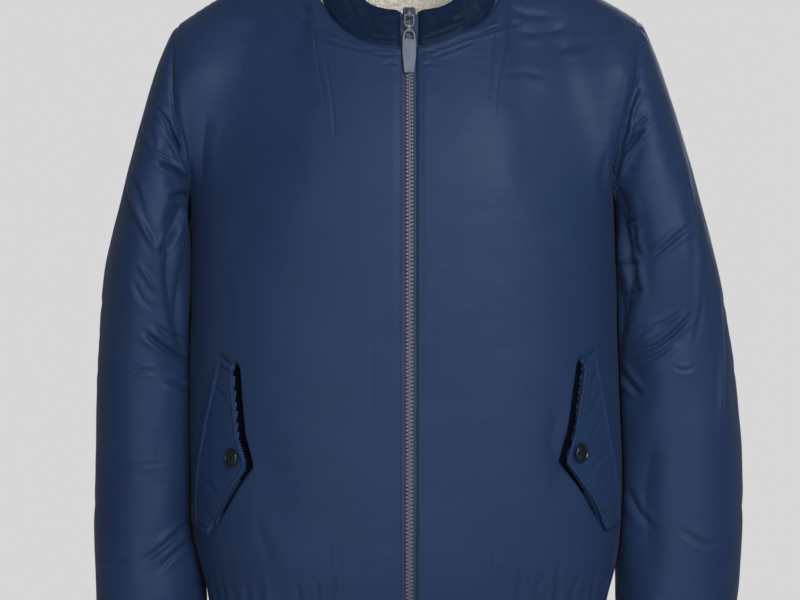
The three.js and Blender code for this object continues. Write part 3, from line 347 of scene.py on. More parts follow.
class Skin:
    """The outer face of one cloth piece, which is pressed into shape and then given a wall."""

    FITTINGS = 3
    """How often the smoothed face is drawn back onto the solid's corners."""

    def __init__(self, node: str, cloth: float, levels: int, middle: Sequence[float] | None = (0, 0, -0.3),
                 crisp: bool = False) -> None:
        """Takes the face from a node and smooths it through the solid's own corners.

        Args:
            node: The cloth solid.
            cloth: The thickness of its wall.
            levels: How often the face is subdivided.
            middle: A point that the face looks away from, or None for the solid's middle.
            crisp: Keeps the solid's edges straight between its corners.
        """
        self.node = node
        cage = closed(outer_face(node, cloth, middle), node)
        corners = vertex_array(cage)
        settings = {"levels": levels, "render_levels": levels, "boundary_smooth": "PRESERVE_CORNERS"}
        if crisp:
            settings["subdivision_type"] = "SIMPLE"
        for _ in range(0 if crisp else self.FITTINGS):
            self.mesh = evaluated(cage, "SUBSURF", **settings)
            missed = corners - vertex_array(self.mesh)[: len(corners)]
            move_to(cage, vertex_array(cage) + missed)
        self.mesh = evaluated(cage, "SUBSURF", **settings)
        self.take()

    def take(self) -> None:
        """Takes the places, normals and edges of the face as they are."""
        self.places = vertex_array(self.mesh)
        self.rest = self.places.copy()
        self.normals = self.mesh_normals()
        self.loops = self.border_loops()

    def refine(self, near: np.ndarray) -> None:
        """Halves the face's grid where it has to take fine relief.

        Args:
            near: Tells for each vertex whether fine relief comes there.
        """
        bm = opened(self.mesh)
        faces = {face for index in np.flatnonzero(near) for face in bm.verts[index].link_faces}
        edges = {edge.index: edge for face in faces for edge in face.edges}
        in_order = [edges[index] for index in sorted(edges)]
        bmesh.ops.subdivide_edges(bm, edges=in_order, cuts=1, use_grid_fill=True)
        bm.to_mesh(self.mesh)
        bm.free()
        self.take()

    def mesh_normals(self) -> np.ndarray:
        """The normals of the face's vertices."""
        move_to(self.mesh, self.places)
        self.mesh.update()
        return normal_array(self.mesh)

    def settle_at(self, places: np.ndarray) -> None:
        """Takes new places as the ones that folds and seams are measured on."""
        self.places = places
        self.rest = places.copy()
        self.normals = self.mesh_normals()

    def border_loops(self) -> list[np.ndarray]:
        """The places along each edge of the face, in order and close together."""
        bm = opened(self.mesh)
        open_edges = {e.index: e for e in bm.edges if e.is_boundary}
        loops = []
        while open_edges:
            edge = open_edges.pop(min(open_edges))
            first, last = edge.verts
            line = [first, last]
            while last != first:
                edge = next((e for e in last.link_edges if e.index in open_edges), None)
                if edge is None:
                    break
                del open_edges[edge.index]
                last = edge.other_vert(last)
                line.append(last)
            loops.append(np.array([v.co for v in line], float))
        bm.free()
        return loops

    def edge(self, chosen: Chooser | None = None, fine: int = 4) -> tuple[np.ndarray, np.ndarray]:
        """How far each point of the face is from its edge, and where along the edge.

        Args:
            chosen: Tells which places on the edge count, or None for all of it.
            fine: How many stretches each step along the edge is cut into.

        Returns:
            The distances, and the lengths along the edge to the nearest place.
        """
        points = []
        for loop in self.loops:
            steps = np.linspace(0, len(loop) - 1, (len(loop) - 1) * fine + 1)
            places = np.interp(steps, range(len(loop)), lengths_along(loop))
            line = spaced(loop, places)
            kept = chosen(line) if chosen else np.ones(len(line), bool)
            points.extend(zip(line[kept], places[kept]))
        tree = tree_of([point for point, _ in points])
        found = [tree.find(place) for place in self.rest]
        far = np.array([distance for _, _, distance in found])
        return far, np.array([points[index][1] for _, index, _ in found])

    def relax(self, share: np.ndarray, rounds: int) -> None:
        """Evens out the face, its edge held still.

        Args:
            share: How strongly each vertex takes part, from 0 to 1.
            rounds: How often it is evened out.
        """
        ends = np.empty(len(self.mesh.edges) * 2, np.int32)
        self.mesh.edges.foreach_get("vertices", ends)
        a, b = ends.reshape(-1, 2).T
        count = np.bincount(ends, minlength=len(self.places))[:, None]
        bm = opened(self.mesh)
        held = np.array([vert.is_boundary for vert in bm.verts])
        bm.free()
        share = np.where(held, 0, share)[:, None]
        ends, others = np.concatenate((a, b)), np.concatenate((b, a))
        places = self.places
        for _ in range(rounds):
            sums = [np.bincount(ends, column[others], minlength=len(places)) for column in places.T]
            places = places + share * (np.stack(sums, axis=1) / count - places)
        self.settle_at(places)

    def press(self, amount: np.ndarray) -> None:
        """Moves each point out along its normal."""
        self.places += self.normals * amount[:, None]

    def make_fine(self, folds: Iterable[Fold], edge: float, slim: float = 4.6) -> None:
        """Refines the face along its edge and under its slimmer folds.

        Args:
            folds: The folds that it is going to take.
            edge: How far in from the edge to refine.
            slim: The half width in millimetres under which a fold counts as slim.
        """
        near = self.edge(fine=1)[0] < edge
        for fold in folds:
            if fold.wide < slim:
                near |= fold.near(self.rest, self.normals)
        self.refine(near)

    def fold(self, folds: Iterable[Fold], held: Chooser | None = None, reach: float = 7 * MM) -> None:
        """Presses folds into the face.

        Args:
            folds: The folds.
            held: Tells which places on the edge are sewn fast, so that troughs run out there.
            reach: How far from such an edge they run out.
        """
        hold = smoothstep(self.edge(held)[0], 0, reach) if held else np.ones(len(self.rest))
        for fold in folds:
            self.press(fold.depth(self.rest, self.normals) * (hold if fold.deep < 0 else 1))

    def roll(self, deep: float, wide: float, chosen: Chooser | None = None) -> None:
        """Turns the face in along its edge, as cloth does at a seam."""
        far, _ = self.edge(chosen)
        self.press(-deep * bell(far, wide))

    def groove(self, inset: float, deep: float, wide: float, chosen: Chooser | None = None) -> None:
        """Draws the face in along a line of sewing beside its edge."""
        far, _ = self.edge(chosen)
        self.press(-deep * bell(far - inset, wide))

    def pucker(self, pitch: float, deep: float, reach: float, chosen: Chooser | None = None,
               seed: float = 0) -> None:
        """Adds small uneven ripples that run away from a seam.

        Args:
            pitch: From one ripple to the next.
            deep: Their height.
            reach: How far they run from the seam.
            chosen: Tells which places on the edge are that seam.
            seed: Shifts the pattern.
        """
        far, along = self.edge(chosen)
        wander = ripple(np.stack([along, far * 0.4, along * 0], axis=1), pitch * 2.3, seed=seed)
        height = np.sin(2 * math.pi * along / pitch + 2.6 * wander)
        drift = ripple(np.stack([along, far * 0, along * 0], axis=1), pitch * 3.1, seed=seed + 7)
        uneven = 0.55 + 0.45 * drift
        run = reach * (0.55 + 0.45 * uneven)
        self.press(deep * height * uneven * np.exp(-far / run) * smoothstep(far, 0, 0.15 * reach))

    def undulate(self, deep: float, size: float, stretch: Sequence[float] = (1, 1, 1),
                 seed: float = 0) -> None:
        """Presses soft uneven lumps into the face."""
        self.press(deep * ripple(self.rest, size, stretch, seed))

    def tuck(self, chosen: Chooser | None = None, reach: float = 2.4 * MM, deep: float = 1.7 * MM) -> None:
        """Turns the cloth on past a seam, under the piece that it is sewn to.

        Args:
            chosen: Tells which places on the edge are sewn, or None for all of it.
            reach: How far it goes under.
            deep: How far down it goes.
        """
        self.normals = self.mesh_normals()
        bm = opened(self.mesh)
        sewn = chosen(self.rest) if chosen else np.ones(len(self.rest), bool)
        edges = [e for e in bm.edges if e.is_boundary and all(sewn[v.index] for v in e.verts)]
        moves: dict[int, Vector] = {}
        for edge in edges:
            face = edge.link_faces[0]
            middle = (edge.verts[0].co + edge.verts[1].co) / 2
            along = (edge.verts[1].co - edge.verts[0].co).normalized()
            out = middle - face.calc_center_median()
            out = (out - along * out.dot(along)).normalized()
            for vert in edge.verts:
                moves[vert.index] = moves.get(vert.index, Vector()) + out
        origins = {vert: Vector(self.normals[vert.index]) for edge in edges for vert in edge.verts}
        places = {tuple(vert.co): moves[vert.index].normalized() * reach - normal * deep
                  for vert, normal in origins.items()}
        made = bmesh.ops.extrude_edge_only(bm, edges=edges)
        for vert in made["geom"]:
            if isinstance(vert, bmesh.types.BMVert):
                vert.co += places[tuple(vert.co)]
        bm.to_mesh(self.mesh)
        bm.free()
        self.places = vertex_array(self.mesh)

    def tree(self) -> BVHTree:
        """The face as a tree for finding its nearest place."""
        faces = [tuple(face.vertices) for face in self.mesh.polygons]
        return BVHTree.FromPolygons([Vector(place) for place in self.places], faces)

    def piece(self, name: str, cloth: float, finish: "Finish") -> bpy.types.Object:
        """The finished piece, with a wall, riding on the jacket's body in place of its solid."""
        self.mesh_normals()
        mesh = evaluated(self.mesh, "SOLIDIFY", thickness=cloth, offset=-1)
        mesh.shade_smooth()
        mesh.set_sharp_from_angle(angle=math.radians(55))
        obj = shown(name, mesh, finish)
        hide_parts(self.node)
        return obj


def shown(name: str, mesh: bpy.types.Mesh, finish: "Finish", body: str = "root") -> bpy.types.Object:
    """Makes a piece from a mesh.

    Args:
        name: The piece's name.
        mesh: Its mesh, already in place.
        finish: Its finish.
        body: The body that it rides on.

    Returns:
        The new object.
    """
    mesh.materials.clear()
    mesh.materials.append(finish.material())
    obj = bpy.data.objects.new(name, mesh)
    bpy.context.scene.collection.objects.link(obj)
    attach(obj, body)
    LOG.info("%s: %d faces", name, len(mesh.polygons))
    return obj


def mesh_of(bm: bmesh.types.BMesh, name: str, sharp: float = 40) -> bpy.types.Mesh:
    """A smooth-shaded mesh from a bmesh, which is freed, with edges sharp past an angle in degrees."""
    mesh = closed(bm, name)
    mesh.shade_smooth()
    mesh.set_sharp_from_angle(angle=math.radians(sharp))
    return mesh


# ------------------------------------------------------------------------------------ finishes
class Weaver:
    """Builds the nodes of one material."""

    def __init__(self, name: str) -> None:
        """Starts an empty material with a principled surface."""
        self.material = bpy.data.materials.new(name)
        self.material.use_nodes = True
        self.nodes = self.material.node_tree.nodes
        self.surface = self.nodes["Principled BSDF"]
        self.place = self.nodes.new("ShaderNodeTexCoord").outputs["Object"]

    def join(self, source: bpy.types.NodeSocket, target: bpy.types.NodeSocket) -> None:
        """Links an output to an input."""
        self.material.node_tree.links.new(source, target)

    def add(self, kind: str, **settings: object) -> bpy.types.Node:
        """Adds a node and sets its attributes."""
        node = self.nodes.new(kind)
        for key, value in settings.items():
            setattr(node, key, value)
        return node

    def stretched(self, scale: Sequence[float]) -> bpy.types.NodeSocket:
        """The piece's own coordinates, scaled along each axis."""
        node = self.add("ShaderNodeMapping")
        node.inputs["Scale"].default_value = scale
        self.join(self.place, node.inputs["Vector"])
        return node.outputs["Vector"]

    def cloudy(self, scale: Sequence[float], detail: float = 2, rough: float = 0.5) -> bpy.types.NodeSocket:
        """A noise pattern; scale is how many lumps fit in a metre along each axis."""
        node = self.add("ShaderNodeTexNoise")
        node.inputs["Scale"].default_value = 1
        node.inputs["Detail"].default_value = detail
        node.inputs["Roughness"].default_value = rough
        self.join(self.stretched(scale), node.inputs["Vector"])
        return node.outputs["Fac"]

    def ramp(self, value: bpy.types.NodeSocket, low: Sequence[float], high: Sequence[float],
             start: float = 0.3, end: float = 0.7) -> bpy.types.NodeSocket:
        """A colour that runs from low to high as a value rises."""
        node = self.add("ShaderNodeValToRGB")
        for stop, colour, place in zip(node.color_ramp.elements, (low, high), (start, end)):
            stop.color = (*colour, 1)
            stop.position = place
        self.join(value, node.inputs["Fac"])
        return node.outputs["Color"]

    def bump(self, height: bpy.types.NodeSocket, deep: float, below: bpy.types.NodeSocket | None = None,
             strength: float = 1) -> bpy.types.NodeSocket:
        """A bumped normal.

        Args:
            height: The pattern of heights.
            deep: What a height of 1 stands for, in metres.
            below: The normal that it is laid on.
            strength: How much of it shows.

        Returns:
            The normal.
        """
        node = self.add("ShaderNodeBump")
        node.inputs["Strength"].default_value = strength
        node.inputs["Distance"].default_value = deep
        self.join(height, node.inputs["Height"])
        if below:
            self.join(below, node.inputs["Normal"])
        return node.outputs["Normal"]

    def paint(self, value: bpy.types.NodeSocket, low: Sequence[float], high: Sequence[float],
              start: float = 0.3, end: float = 0.7) -> None:
        """Gives the surface a colour that runs from low to high as a value rises."""
        self.join(self.ramp(value, low, high, start, end), self.surface.inputs["Base Color"])

    def grain(self, height: bpy.types.NodeSocket, deep: float, below: bpy.types.NodeSocket | None = None,
              strength: float = 1) -> None:
        """Gives the surface its last bumps; the arguments are those of bump."""
        self.join(self.bump(height, deep, below, strength), self.surface.inputs["Normal"])

    def set(self, **values: object) -> None:
        """Sets single values on the surface's sockets, by name with _ for a space."""
        for key, value in values.items():
            self.surface.inputs[key.replace("_", " ")].default_value = value


@dataclass(frozen=True)
class Finish:
    """A finish that a piece can take."""

    slot: str
    name: str

    def material(self) -> bpy.types.Material:
        """The finish's material, made once."""
        return bpy.data.materials.get(self.name) or self.build(Weaver(self.name))

    def build(self, weaver: Weaver) -> bpy.types.Material:
        """Makes the material's nodes."""
        raise NotImplementedError


@dataclass(frozen=True)
class Taffeta(Finish):
    """Close plain-weave cloth with a soft satin sheen, its cross threads a little uneven."""

    slot: str = "shell"
    name: str = "navy taffeta"
    dark: tuple[float, float, float] = (0.0078, 0.0188, 0.052)
    light: tuple[float, float, float] = (0.0096, 0.0225, 0.060)
    matt: float = 0.52
    threads: float = 1900
    crumple: float = 0.5
    shine: float = 0.19

    def build(self, weaver: Weaver) -> bpy.types.Material:
        """Makes the cloth's colour, weave and small creases."""
        slub = weaver.cloudy((22, 22, 900), 3, 0.6)
        tone = weaver.cloudy((9, 9, 9), 3, 0.55)
        mixed = weaver.add("ShaderNodeMath", operation="ADD")
        weaver.join(slub, mixed.inputs[0])
        weaver.join(tone, mixed.inputs[1])
        weaver.paint(mixed.outputs[0], self.dark, self.light, 0.7, 1.3)
        weaver.set(Roughness=self.matt, Specular_IOR_Level=self.shine, Specular_Tint=(0.66, 0.76, 1, 1))
        weaver.set(Sheen_Weight=0.05, Sheen_Roughness=0.45, Sheen_Tint=(0.5, 0.62, 1, 1))
        soft = weaver.bump(weaver.cloudy((34, 34, 48), 3, 0.5), 1.1 * MM, strength=self.crumple)
        small = weaver.bump(weaver.cloudy((120, 120, 170), 2, 0.5), 0.22 * MM, soft, self.crumple)
        thread = weaver.bump(slub, 0.05 * MM, small, 0.7)
        weave = weaver.add("ShaderNodeTexWave", wave_type="BANDS", bands_direction="Z")
        weave.inputs["Scale"].default_value = self.threads / 20
        weave.inputs["Distortion"].default_value = 1.5
        weaver.join(weaver.place, weave.inputs["Vector"])
        weaver.grain(weave.outputs["Fac"], 0.02 * MM, thread, 0.4)
        return weaver.material


@dataclass(frozen=True)
class PaintedShadeTaffeta(Taffeta):
    """The same cloth painted much darker and given less shine: painted shade for the collar, which falls in
    shade.
    """

    name: str = "navy taffeta, painted collar shade"
    dark: tuple[float, float, float] = (0.0026, 0.0074, 0.021)
    light: tuple[float, float, float] = (0.0038, 0.0100, 0.027)
    shine: float = 0.09


@dataclass(frozen=True)
class PaintedLightFlapTaffeta(PaintedShadeTaffeta):
    """The flaps' cloth: the body's cloth painted a little lighter, with the collar copy's lower shine, as
    painted light on the flaps.
    """

    name: str = "navy taffeta, painted flap light"
    dark: tuple[float, float, float] = (0.0086, 0.0205, 0.057)
    light: tuple[float, float, float] = (0.0105, 0.0245, 0.0655)


@dataclass(frozen=True)
class PocketMouthShade(Finish):
    """Near-black sheet laid in the pocket's mouth: painted shade for the deep shade inside the mouth, in
    place of the pocket bag seen there.
    """

    slot: str = "shell"
    name: str = "painted pocket mouth shade"

    def build(self, weaver: Weaver) -> bpy.types.Material:
        """Makes the painted shade's near-black colour and grain."""
        grain = weaver.cloudy((300, 300, 300), 2, 0.5)
        weaver.paint(grain, (0.0006, 0.0014, 0.0038), (0.0012, 0.0026, 0.0064))
        weaver.set(Roughness=0.95, Specular_IOR_Level=0.05)
        weaver.grain(grain, 0.1 * MM, strength=0.5)
        return weaver.material


@dataclass(frozen=True)
class Pile(Finish):
    """Cream curly pile."""

    slot: str = "pile"
    name: str = "cream pile"

    def build(self, weaver: Weaver) -> bpy.types.Material:
        """Makes the pile's colour and its fine curl."""
        curl = weaver.cloudy((420, 420, 420), 4, 0.7)
        weaver.paint(curl, (0.42, 0.36, 0.29), (0.83, 0.78, 0.70), 0.32, 0.62)
        weaver.set(Roughness=0.95, Sheen_Weight=0.5, Sheen_Roughness=0.6, Specular_IOR_Level=0.2)
        weaver.grain(curl, 1.2 * MM, strength=0.9)
        return weaver.material


@dataclass(frozen=True)
class Tape(Finish):
    """Twill zip tape."""

    slot: str = "tape"
    name: str = "zip tape"

    def build(self, weaver: Weaver) -> bpy.types.Material:
        """Makes the tape's twill."""
        twill = weaver.add("ShaderNodeTexWave", wave_type="BANDS", bands_direction="DIAGONAL")
        twill.inputs["Scale"].default_value = 300
        twill.inputs["Distortion"].default_value = 0.6
        weaver.join(weaver.place, twill.inputs["Vector"])
        weaver.paint(twill.outputs["Fac"], (0.018, 0.027, 0.056), (0.031, 0.044, 0.086), 0.2, 0.8)
        weaver.set(Roughness=0.8, Sheen_Weight=0.05, Specular_IOR_Level=0.2)
        weaver.grain(twill.outputs["Fac"], 0.12 * MM, strength=0.8)
        return weaver.material


@dataclass(frozen=True)
class Moulded(Finish):
    """Moulded grey plastic with a faint grain."""

    slot: str = "teeth"
    name: str = "moulded plastic"
    colour: tuple[float, float, float] = (0.054, 0.063, 0.090)

    def build(self, weaver: Weaver) -> bpy.types.Material:
        """Makes the plastic's colour and grain."""
        grain = weaver.cloudy((500, 500, 500), 2, 0.5)
        darker = tuple(value * 0.8 for value in self.colour)
        weaver.paint(grain, darker, self.colour)
        weaver.set(Roughness=0.4, IOR=1.5)
        weaver.grain(grain, 0.05 * MM, strength=0.4)
        return weaver.material


@dataclass(frozen=True)
class Lacquer(Finish):
    """Pale grey lacquer on cast metal, worn a little brighter in places."""

    slot: str = "slider"
    name: str = "grey lacquer"
    colour: tuple[float, float, float] = (0.112, 0.133, 0.182)

    def build(self, weaver: Weaver) -> bpy.types.Material:
        """Makes the lacquer's colour, wear and orange peel."""
        wear = weaver.cloudy((160, 160, 90), 4, 0.65)
        lighter = tuple(value * 1.25 for value in self.colour)
        weaver.paint(wear, self.colour, lighter, 0.45, 0.75)
        weaver.set(Metallic=0.35, Roughness=0.36, Coat_Weight=0.3, Coat_Roughness=0.2)
        peel = weaver.cloudy((900, 900, 900), 1, 0.5)
        weaver.grain(peel, 0.03 * MM, strength=0.35)
        return weaver.material


@dataclass(frozen=True)
class ShadedSliderLacquer(Lacquer):
    """The pull's lacquer painted darker for the slider: painted shade, as the slider's sides fall in shade.
    """

    name: str = "grey lacquer, painted slider shade"
    colour: tuple[float, float, float] = (0.045, 0.054, 0.078)


@dataclass(frozen=True)
class Gunmetal(Finish):
    """Dark gunmetal plate."""

    slot: str = "cap"
    name: str = "gunmetal"

    def build(self, weaver: Weaver) -> bpy.types.Material:
        """Makes the plate's colour and faint scuffs."""
        scuff = weaver.cloudy((700, 700, 140), 3, 0.6)
        weaver.paint(scuff, (0.006, 0.013, 0.018), (0.015, 0.028, 0.034), 0.4, 0.8)
        weaver.set(Metallic=0.75, Roughness=0.3, Coat_Weight=0.25, Coat_Roughness=0.15)
        weaver.grain(scuff, 0.03 * MM, strength=0.3)
        return weaver.material


@dataclass(frozen=True)
class Thread(Finish):
    """Sewing thread, a shade lighter than the cloth."""

    slot: str = "shell"
    name: str = "navy thread"

    def build(self, weaver: Weaver) -> bpy.types.Material:
        """Makes the thread's colour and twist."""
        twist = weaver.cloudy((1500, 1500, 1500), 1, 0.5)
        weaver.paint(twist, (0.006, 0.014, 0.034), (0.013, 0.027, 0.06))
        weaver.set(Roughness=0.7, Specular_IOR_Level=0.2)
        weaver.grain(twist, 0.08 * MM, strength=0.6)
        return weaver.material


# ------------------------------------------------------------------------------------ sewing
@dataclass(frozen=True)
class Stitching:
    """A row of lockstitches laid on cloth."""

    pitch: float = 3.1 * MM
    long: float = 2.3 * MM
    thick: float = 0.42 * MM

    def sew(self, name: str, lines: Sequence[np.ndarray], tree: BVHTree) -> bpy.types.Object:
        """Sews along lines.

        Args:
            name: The name of the piece that the stitches make.
            lines: Points near the cloth, in order.
            tree: The cloth's outer face.

        Returns:
            One piece that holds all the stitches.
        """
        bm = bmesh.new()
        for line in lines:
            along = lengths_along(line)
            count = int(along[-1] / self.pitch)
            places = (np.arange(count) + 0.5) * self.pitch
            starts, ends = (spaced(line, places + shift) for shift in (-self.long / 2, self.long / 2))
            for start, end in zip(starts, ends):
                self.stitch(bm, Vector(start), Vector(end), tree)
        return shown(name, mesh_of(bm, name, 80), Thread())

    def stitch(self, bm: bmesh.types.BMesh, start: Vector, end: Vector, tree: BVHTree) -> None:
        """Adds one stitch between two places on the cloth."""
        low, normal, _, _ = tree.find_nearest(start)
        high, _, _, _ = tree.find_nearest(end)
        along = (high - low).normalized()
        across = along.cross(normal).normalized()
        up = across.cross(along)
        turn = Matrix((across, along, up)).transposed().to_4x4()
        middle = Matrix.Translation((low + high) / 2 + up * self.thick * 0.2)
        size = Matrix.Diagonal((self.thick, (high - low).length * 0.62, self.thick, 1))
        bmesh.ops.create_uvsphere(bm, u_segments=6, v_segments=5, radius=0.8, matrix=middle @ turn @ size)


def inset_line(skin: Skin, chosen: Chooser, inset: float) -> list[np.ndarray]:
    """Lines on a face that keep a distance from a stretch of its edge.

    Args:
        skin: The face, in its final shape.
        chosen: Tells which places on the edge count.
        inset: The distance.

    Returns:
        One line for each unbroken stretch.
    """
    tree = skin.tree()
    rest_tree = BVHTree.FromPolygons(
        [Vector(place) for place in skin.rest], [tuple(face.vertices) for face in skin.mesh.polygons]
    )
    lines = []
    for loop in skin.loops:
        along = lengths_along(loop)
        line = spaced(loop, np.arange(0, along[-1], 1.5 * MM))
        kept = chosen(line)
        steps = np.gradient(line, axis=0)
        stretch: list[Vector] = []
        for point, step, keep in zip(line, steps, kept):
            if not keep:
                if len(stretch) > 4:
                    lines.append(np.array(stretch))
                stretch = []
                continue
            near, normal, _, _ = rest_tree.find_nearest(Vector(point))
            inward = normal.cross(Vector(step).normalized())
            tries = [rest_tree.find_nearest(near + inward * inset * sign)[0] for sign in (1, -1)]
            place = max(tries, key=lambda spot: (spot - near).length)
            if (place - near).length > 0.85 * inset:
                stretch.append(tree.find_nearest(place)[0])
        if len(stretch) > 4:
            lines.append(np.array(stretch))
    return lines


# ------------------------------------------------------------------------------------ the body
ZIP_HALF = 9 * MM
NECK_HALF = 98.5 * MM
WAIST = -0.65
BACK_FOLDS = (
    Fold(((-120, -104), (-10, -112), (112, -98)), 9, -2.2, facing=Facing.REAR),
    Fold(((196, -180), (168, -214), (122, -262)), 8, -3.2, 0.4, facing=Facing.REAR),
    Fold(((198, -222), (176, -262), (140, -318)), 7, -2.4, 0.4, facing=Facing.REAR),
    Fold(((-194, -176), (-166, -212), (-124, -256)), 8, -3.0, 0.4, facing=Facing.REAR),
    Fold(((-198, -236), (-172, -282), (-150, -338)), 7, -2.6, 0.4, facing=Facing.REAR),
    Fold(((150, -420), (126, -490), (114, -568)), 10, -2.6, facing=Facing.REAR),
    Fold(((-140, -392), (-122, -470), (-118, -552)), 11, -2.4, facing=Facing.REAR),
    Fold(((24, -456), (10, -520), (6, -596)), 9, -2.2, facing=Facing.REAR),
    Fold(((-66, -500), (-58, -560), (-60, -622)), 7, -1.8, facing=Facing.REAR),
    Fold(((70, -330), (30, -352), (-44, -344)), 12, -1.2, facing=Facing.REAR),
)


@dataclass
class Panel:
    """One panel of the body, cut in one piece from the waist seam to the shoulder."""

    node: str
    folds: tuple[Fold, ...]
    flat: tuple[float, float]
    area: float
    cloth: float = 3 * MM
    levels: int = 3
    seed: float = 0

    def build(self) -> None:
        """Shapes the panel and gives it its wall."""
        skin = Skin(self.node, self.cloth, self.levels)
        skin.make_fine(self.folds, 9 * MM)
        self.settle(skin)
        skin.fold(self.folds, lambda line: neck_seam(line) | armhole_seam(line), 5 * MM)
        skin.undulate(0.9 * MM, 0.075, (1.3, 1, 0.8), self.seed)
        skin.undulate(0.35 * MM, 0.028, (1.5, 1, 0.8), self.seed + 3)
        skin.pucker(13 * MM, 1.1 * MM, 30 * MM, waist_seam, self.seed)
        skin.pucker(9 * MM, 0.5 * MM, 14 * MM, armhole_seam, self.seed + 1)
        self.sew_in(skin)
        skin.roll(1.3 * MM, 2.6 * MM, lambda line: ~zip_edge(line))
        skin.tuck(lambda line: ~zip_edge(line), 3.4 * MM)
        piece = skin.piece(f"{self.node}_cloth", self.cloth, Taffeta())

    def settle(self, skin: Skin) -> None:
        """Evens out the panel before anything is pressed into it."""

    def sew_in(self, skin: Skin) -> None:
        """Presses in the panel's own sewing."""


def zip_edge(line: np.ndarray) -> np.ndarray:
    """Tells which places on a front's edge are at the zip."""
    return np.abs(line[:, 0]) < ZIP_HALF


def waist_seam(line: np.ndarray) -> np.ndarray:
    """Tells which places are on the waist seam."""
    return line[:, 2] < WAIST


def neck_seam(line: np.ndarray) -> np.ndarray:
    """Tells which places are on the neck seam."""
    across = np.abs(line[:, 0])
    return (line[:, 2] > -0.095) & (across < NECK_HALF) & (across > 7.5 * MM)


def armhole_seam(line: np.ndarray) -> np.ndarray:
    """Tells which places are on an armhole."""
    return (line[:, 2] > -0.2505) & (np.abs(line[:, 0]) > 0.195) & (np.abs(line[:, 1]) > 1 * MM)


def raise_neck(skin: Skin) -> None:
    """Raises the neck seam beside the slider on the wearer's left, on both pieces that it joins."""
    share = bell(skin.rest[:, 0] - 0.046, 0.024) * bell(skin.rest[:, 2] + 0.086, 0.022)
    share *= 1 - smoothstep(skin.rest[:, 1], -0.05, -0.03)
    rise = np.stack([0 * share, 0 * share, 7 * MM * share], axis=1)
    skin.settle_at(skin.places + rise)
    skin.loops = skin.border_loops()


@dataclass
class Front(Panel):
    """One front, with its edge beside the zip and the mouth of its pocket."""

    side: Side = Side.RIGHT
    turn: float = 4 * MM
    mouth_deep: float = 4 * MM
    mouth_wide: float = 5.2 * MM
    pocket: "Pocket | None" = None

    def settle(self, skin: Skin) -> None:
        """Evens out the pull at the neck and the armhole, and refines the grid at the pocket."""
        if self.side is Side.LEFT:
            raise_neck(skin)
        for middle, reach in (((0.185, -0.205), 0.095), ((0.095, -0.11), 0.045)):
            off = np.hypot(np.abs(skin.rest[:, 0]) - middle[0], skin.rest[:, 2] - middle[1])
            skin.relax(0.9 * (1 - smoothstep(off, 0.4 * reach, reach)), 420)
        far, _ = self.pocket.off_edge(skin.rest, skin.normals)
        skin.refine(far < 7 * MM)

    def sew_in(self, skin: Skin) -> None:
        """Presses in the edge's fold, the neck's sewing and the mouth of the pocket."""
        skin.groove(self.turn, 0.7 * MM, 1.4 * MM, zip_edge)
        skin.roll(1.6 * MM, 1.6 * MM, zip_edge)
        skin.groove(6.5 * MM, 0.5 * MM, 1.3 * MM, neck_seam)
        far, free = self.pocket.off_edge(skin.rest, skin.normals)
        wide = self.mouth_wide * free + 0.01 * MM
        mouth = smoothstep(free, 0.1, 0.5) * (1 - smoothstep(far / wide, 0.72, 1.1))
        skin.press(-1.7 * MM * bell(far, 2 * MM) - self.mouth_deep * mouth)
        # Lays a near-black sheet in the pocket's mouth: painted shade.
        self.build_mouth_shade(skin, mouth > 0.3)

    def build_mouth_shade(self, skin: Skin, inside: np.ndarray) -> None:
        """Lays a near-black sheet into the pocket's mouth, where the front dips under the flap's open edge:
        painted shade for the deep shade there.

        Args:
            skin: The front's face, already pressed in at the mouth.
            inside: Tells which of its vertices are in the mouth.
        """
        normals = skin.mesh_normals()
        bm = opened(skin.mesh)
        for vert in bm.verts:
            vert.co += Vector(normals[vert.index]) * 0.25 * MM
        bmesh.ops.delete(bm, geom=[v for v in bm.verts if not inside[v.index]], context="VERTS")
        mesh = evaluated(closed(bm, "mouth"), "SOLIDIFY", thickness=0.2 * MM, offset=-1)
        mesh.shade_smooth()
        # The near-black sheet is painted shade in the mouth.
        mouth = shown(f"pocket_mouth_{self.side.word}", mesh, PocketMouthShade())
        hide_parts(f"front_{self.side.word}")


def facing_lines(side: Side) -> tuple[Fold, ...]:
    """The two rows of sewing that hold a front's facing, clear at the neck and the waist."""
    rows = {
        Side.RIGHT: (
            ((-93, -78), (-90, -104), (-85, -130), (-81, -152)),
            ((-82, -102), (-77, -132), (-73, -160), (-72, -184)),
        ),
        Side.LEFT: (
            ((100, -65), (94, -100), (88, -130), (85, -166)),
            ((86, -70), (82, -100), (79, -130), (77, -150)),
        ),
    }[side]
    feet = {Side.RIGHT: (-75.5, -66), Side.LEFT: (72, 81)}[side]
    upper = tuple(Fold(row, 0.9, -0.85, 0.12, sharp=0.2, fade=0.12) for row in rows)
    lower = tuple(
        Fold(((foot, -562), (foot, -600), (foot, -640)), 0.9, -0.6, 0.12, sharp=0.2) for foot in feet
    )
    return upper + lower


def gathers_of_left_waist() -> tuple[Fold, ...]:
    """The short gathers that stand up from the waist seam on the wearer's left."""
    tops = ((106, 2, -596), (124, 5, -600), (143, 3, -588), (161, 6, -602), (181, 4, -596))
    return tuple(
        Fold(((x, -642), (x - 1, -624), (x + lean, top)), 2.8, -1.2, 0.5) for x, lean, top in tops
    )


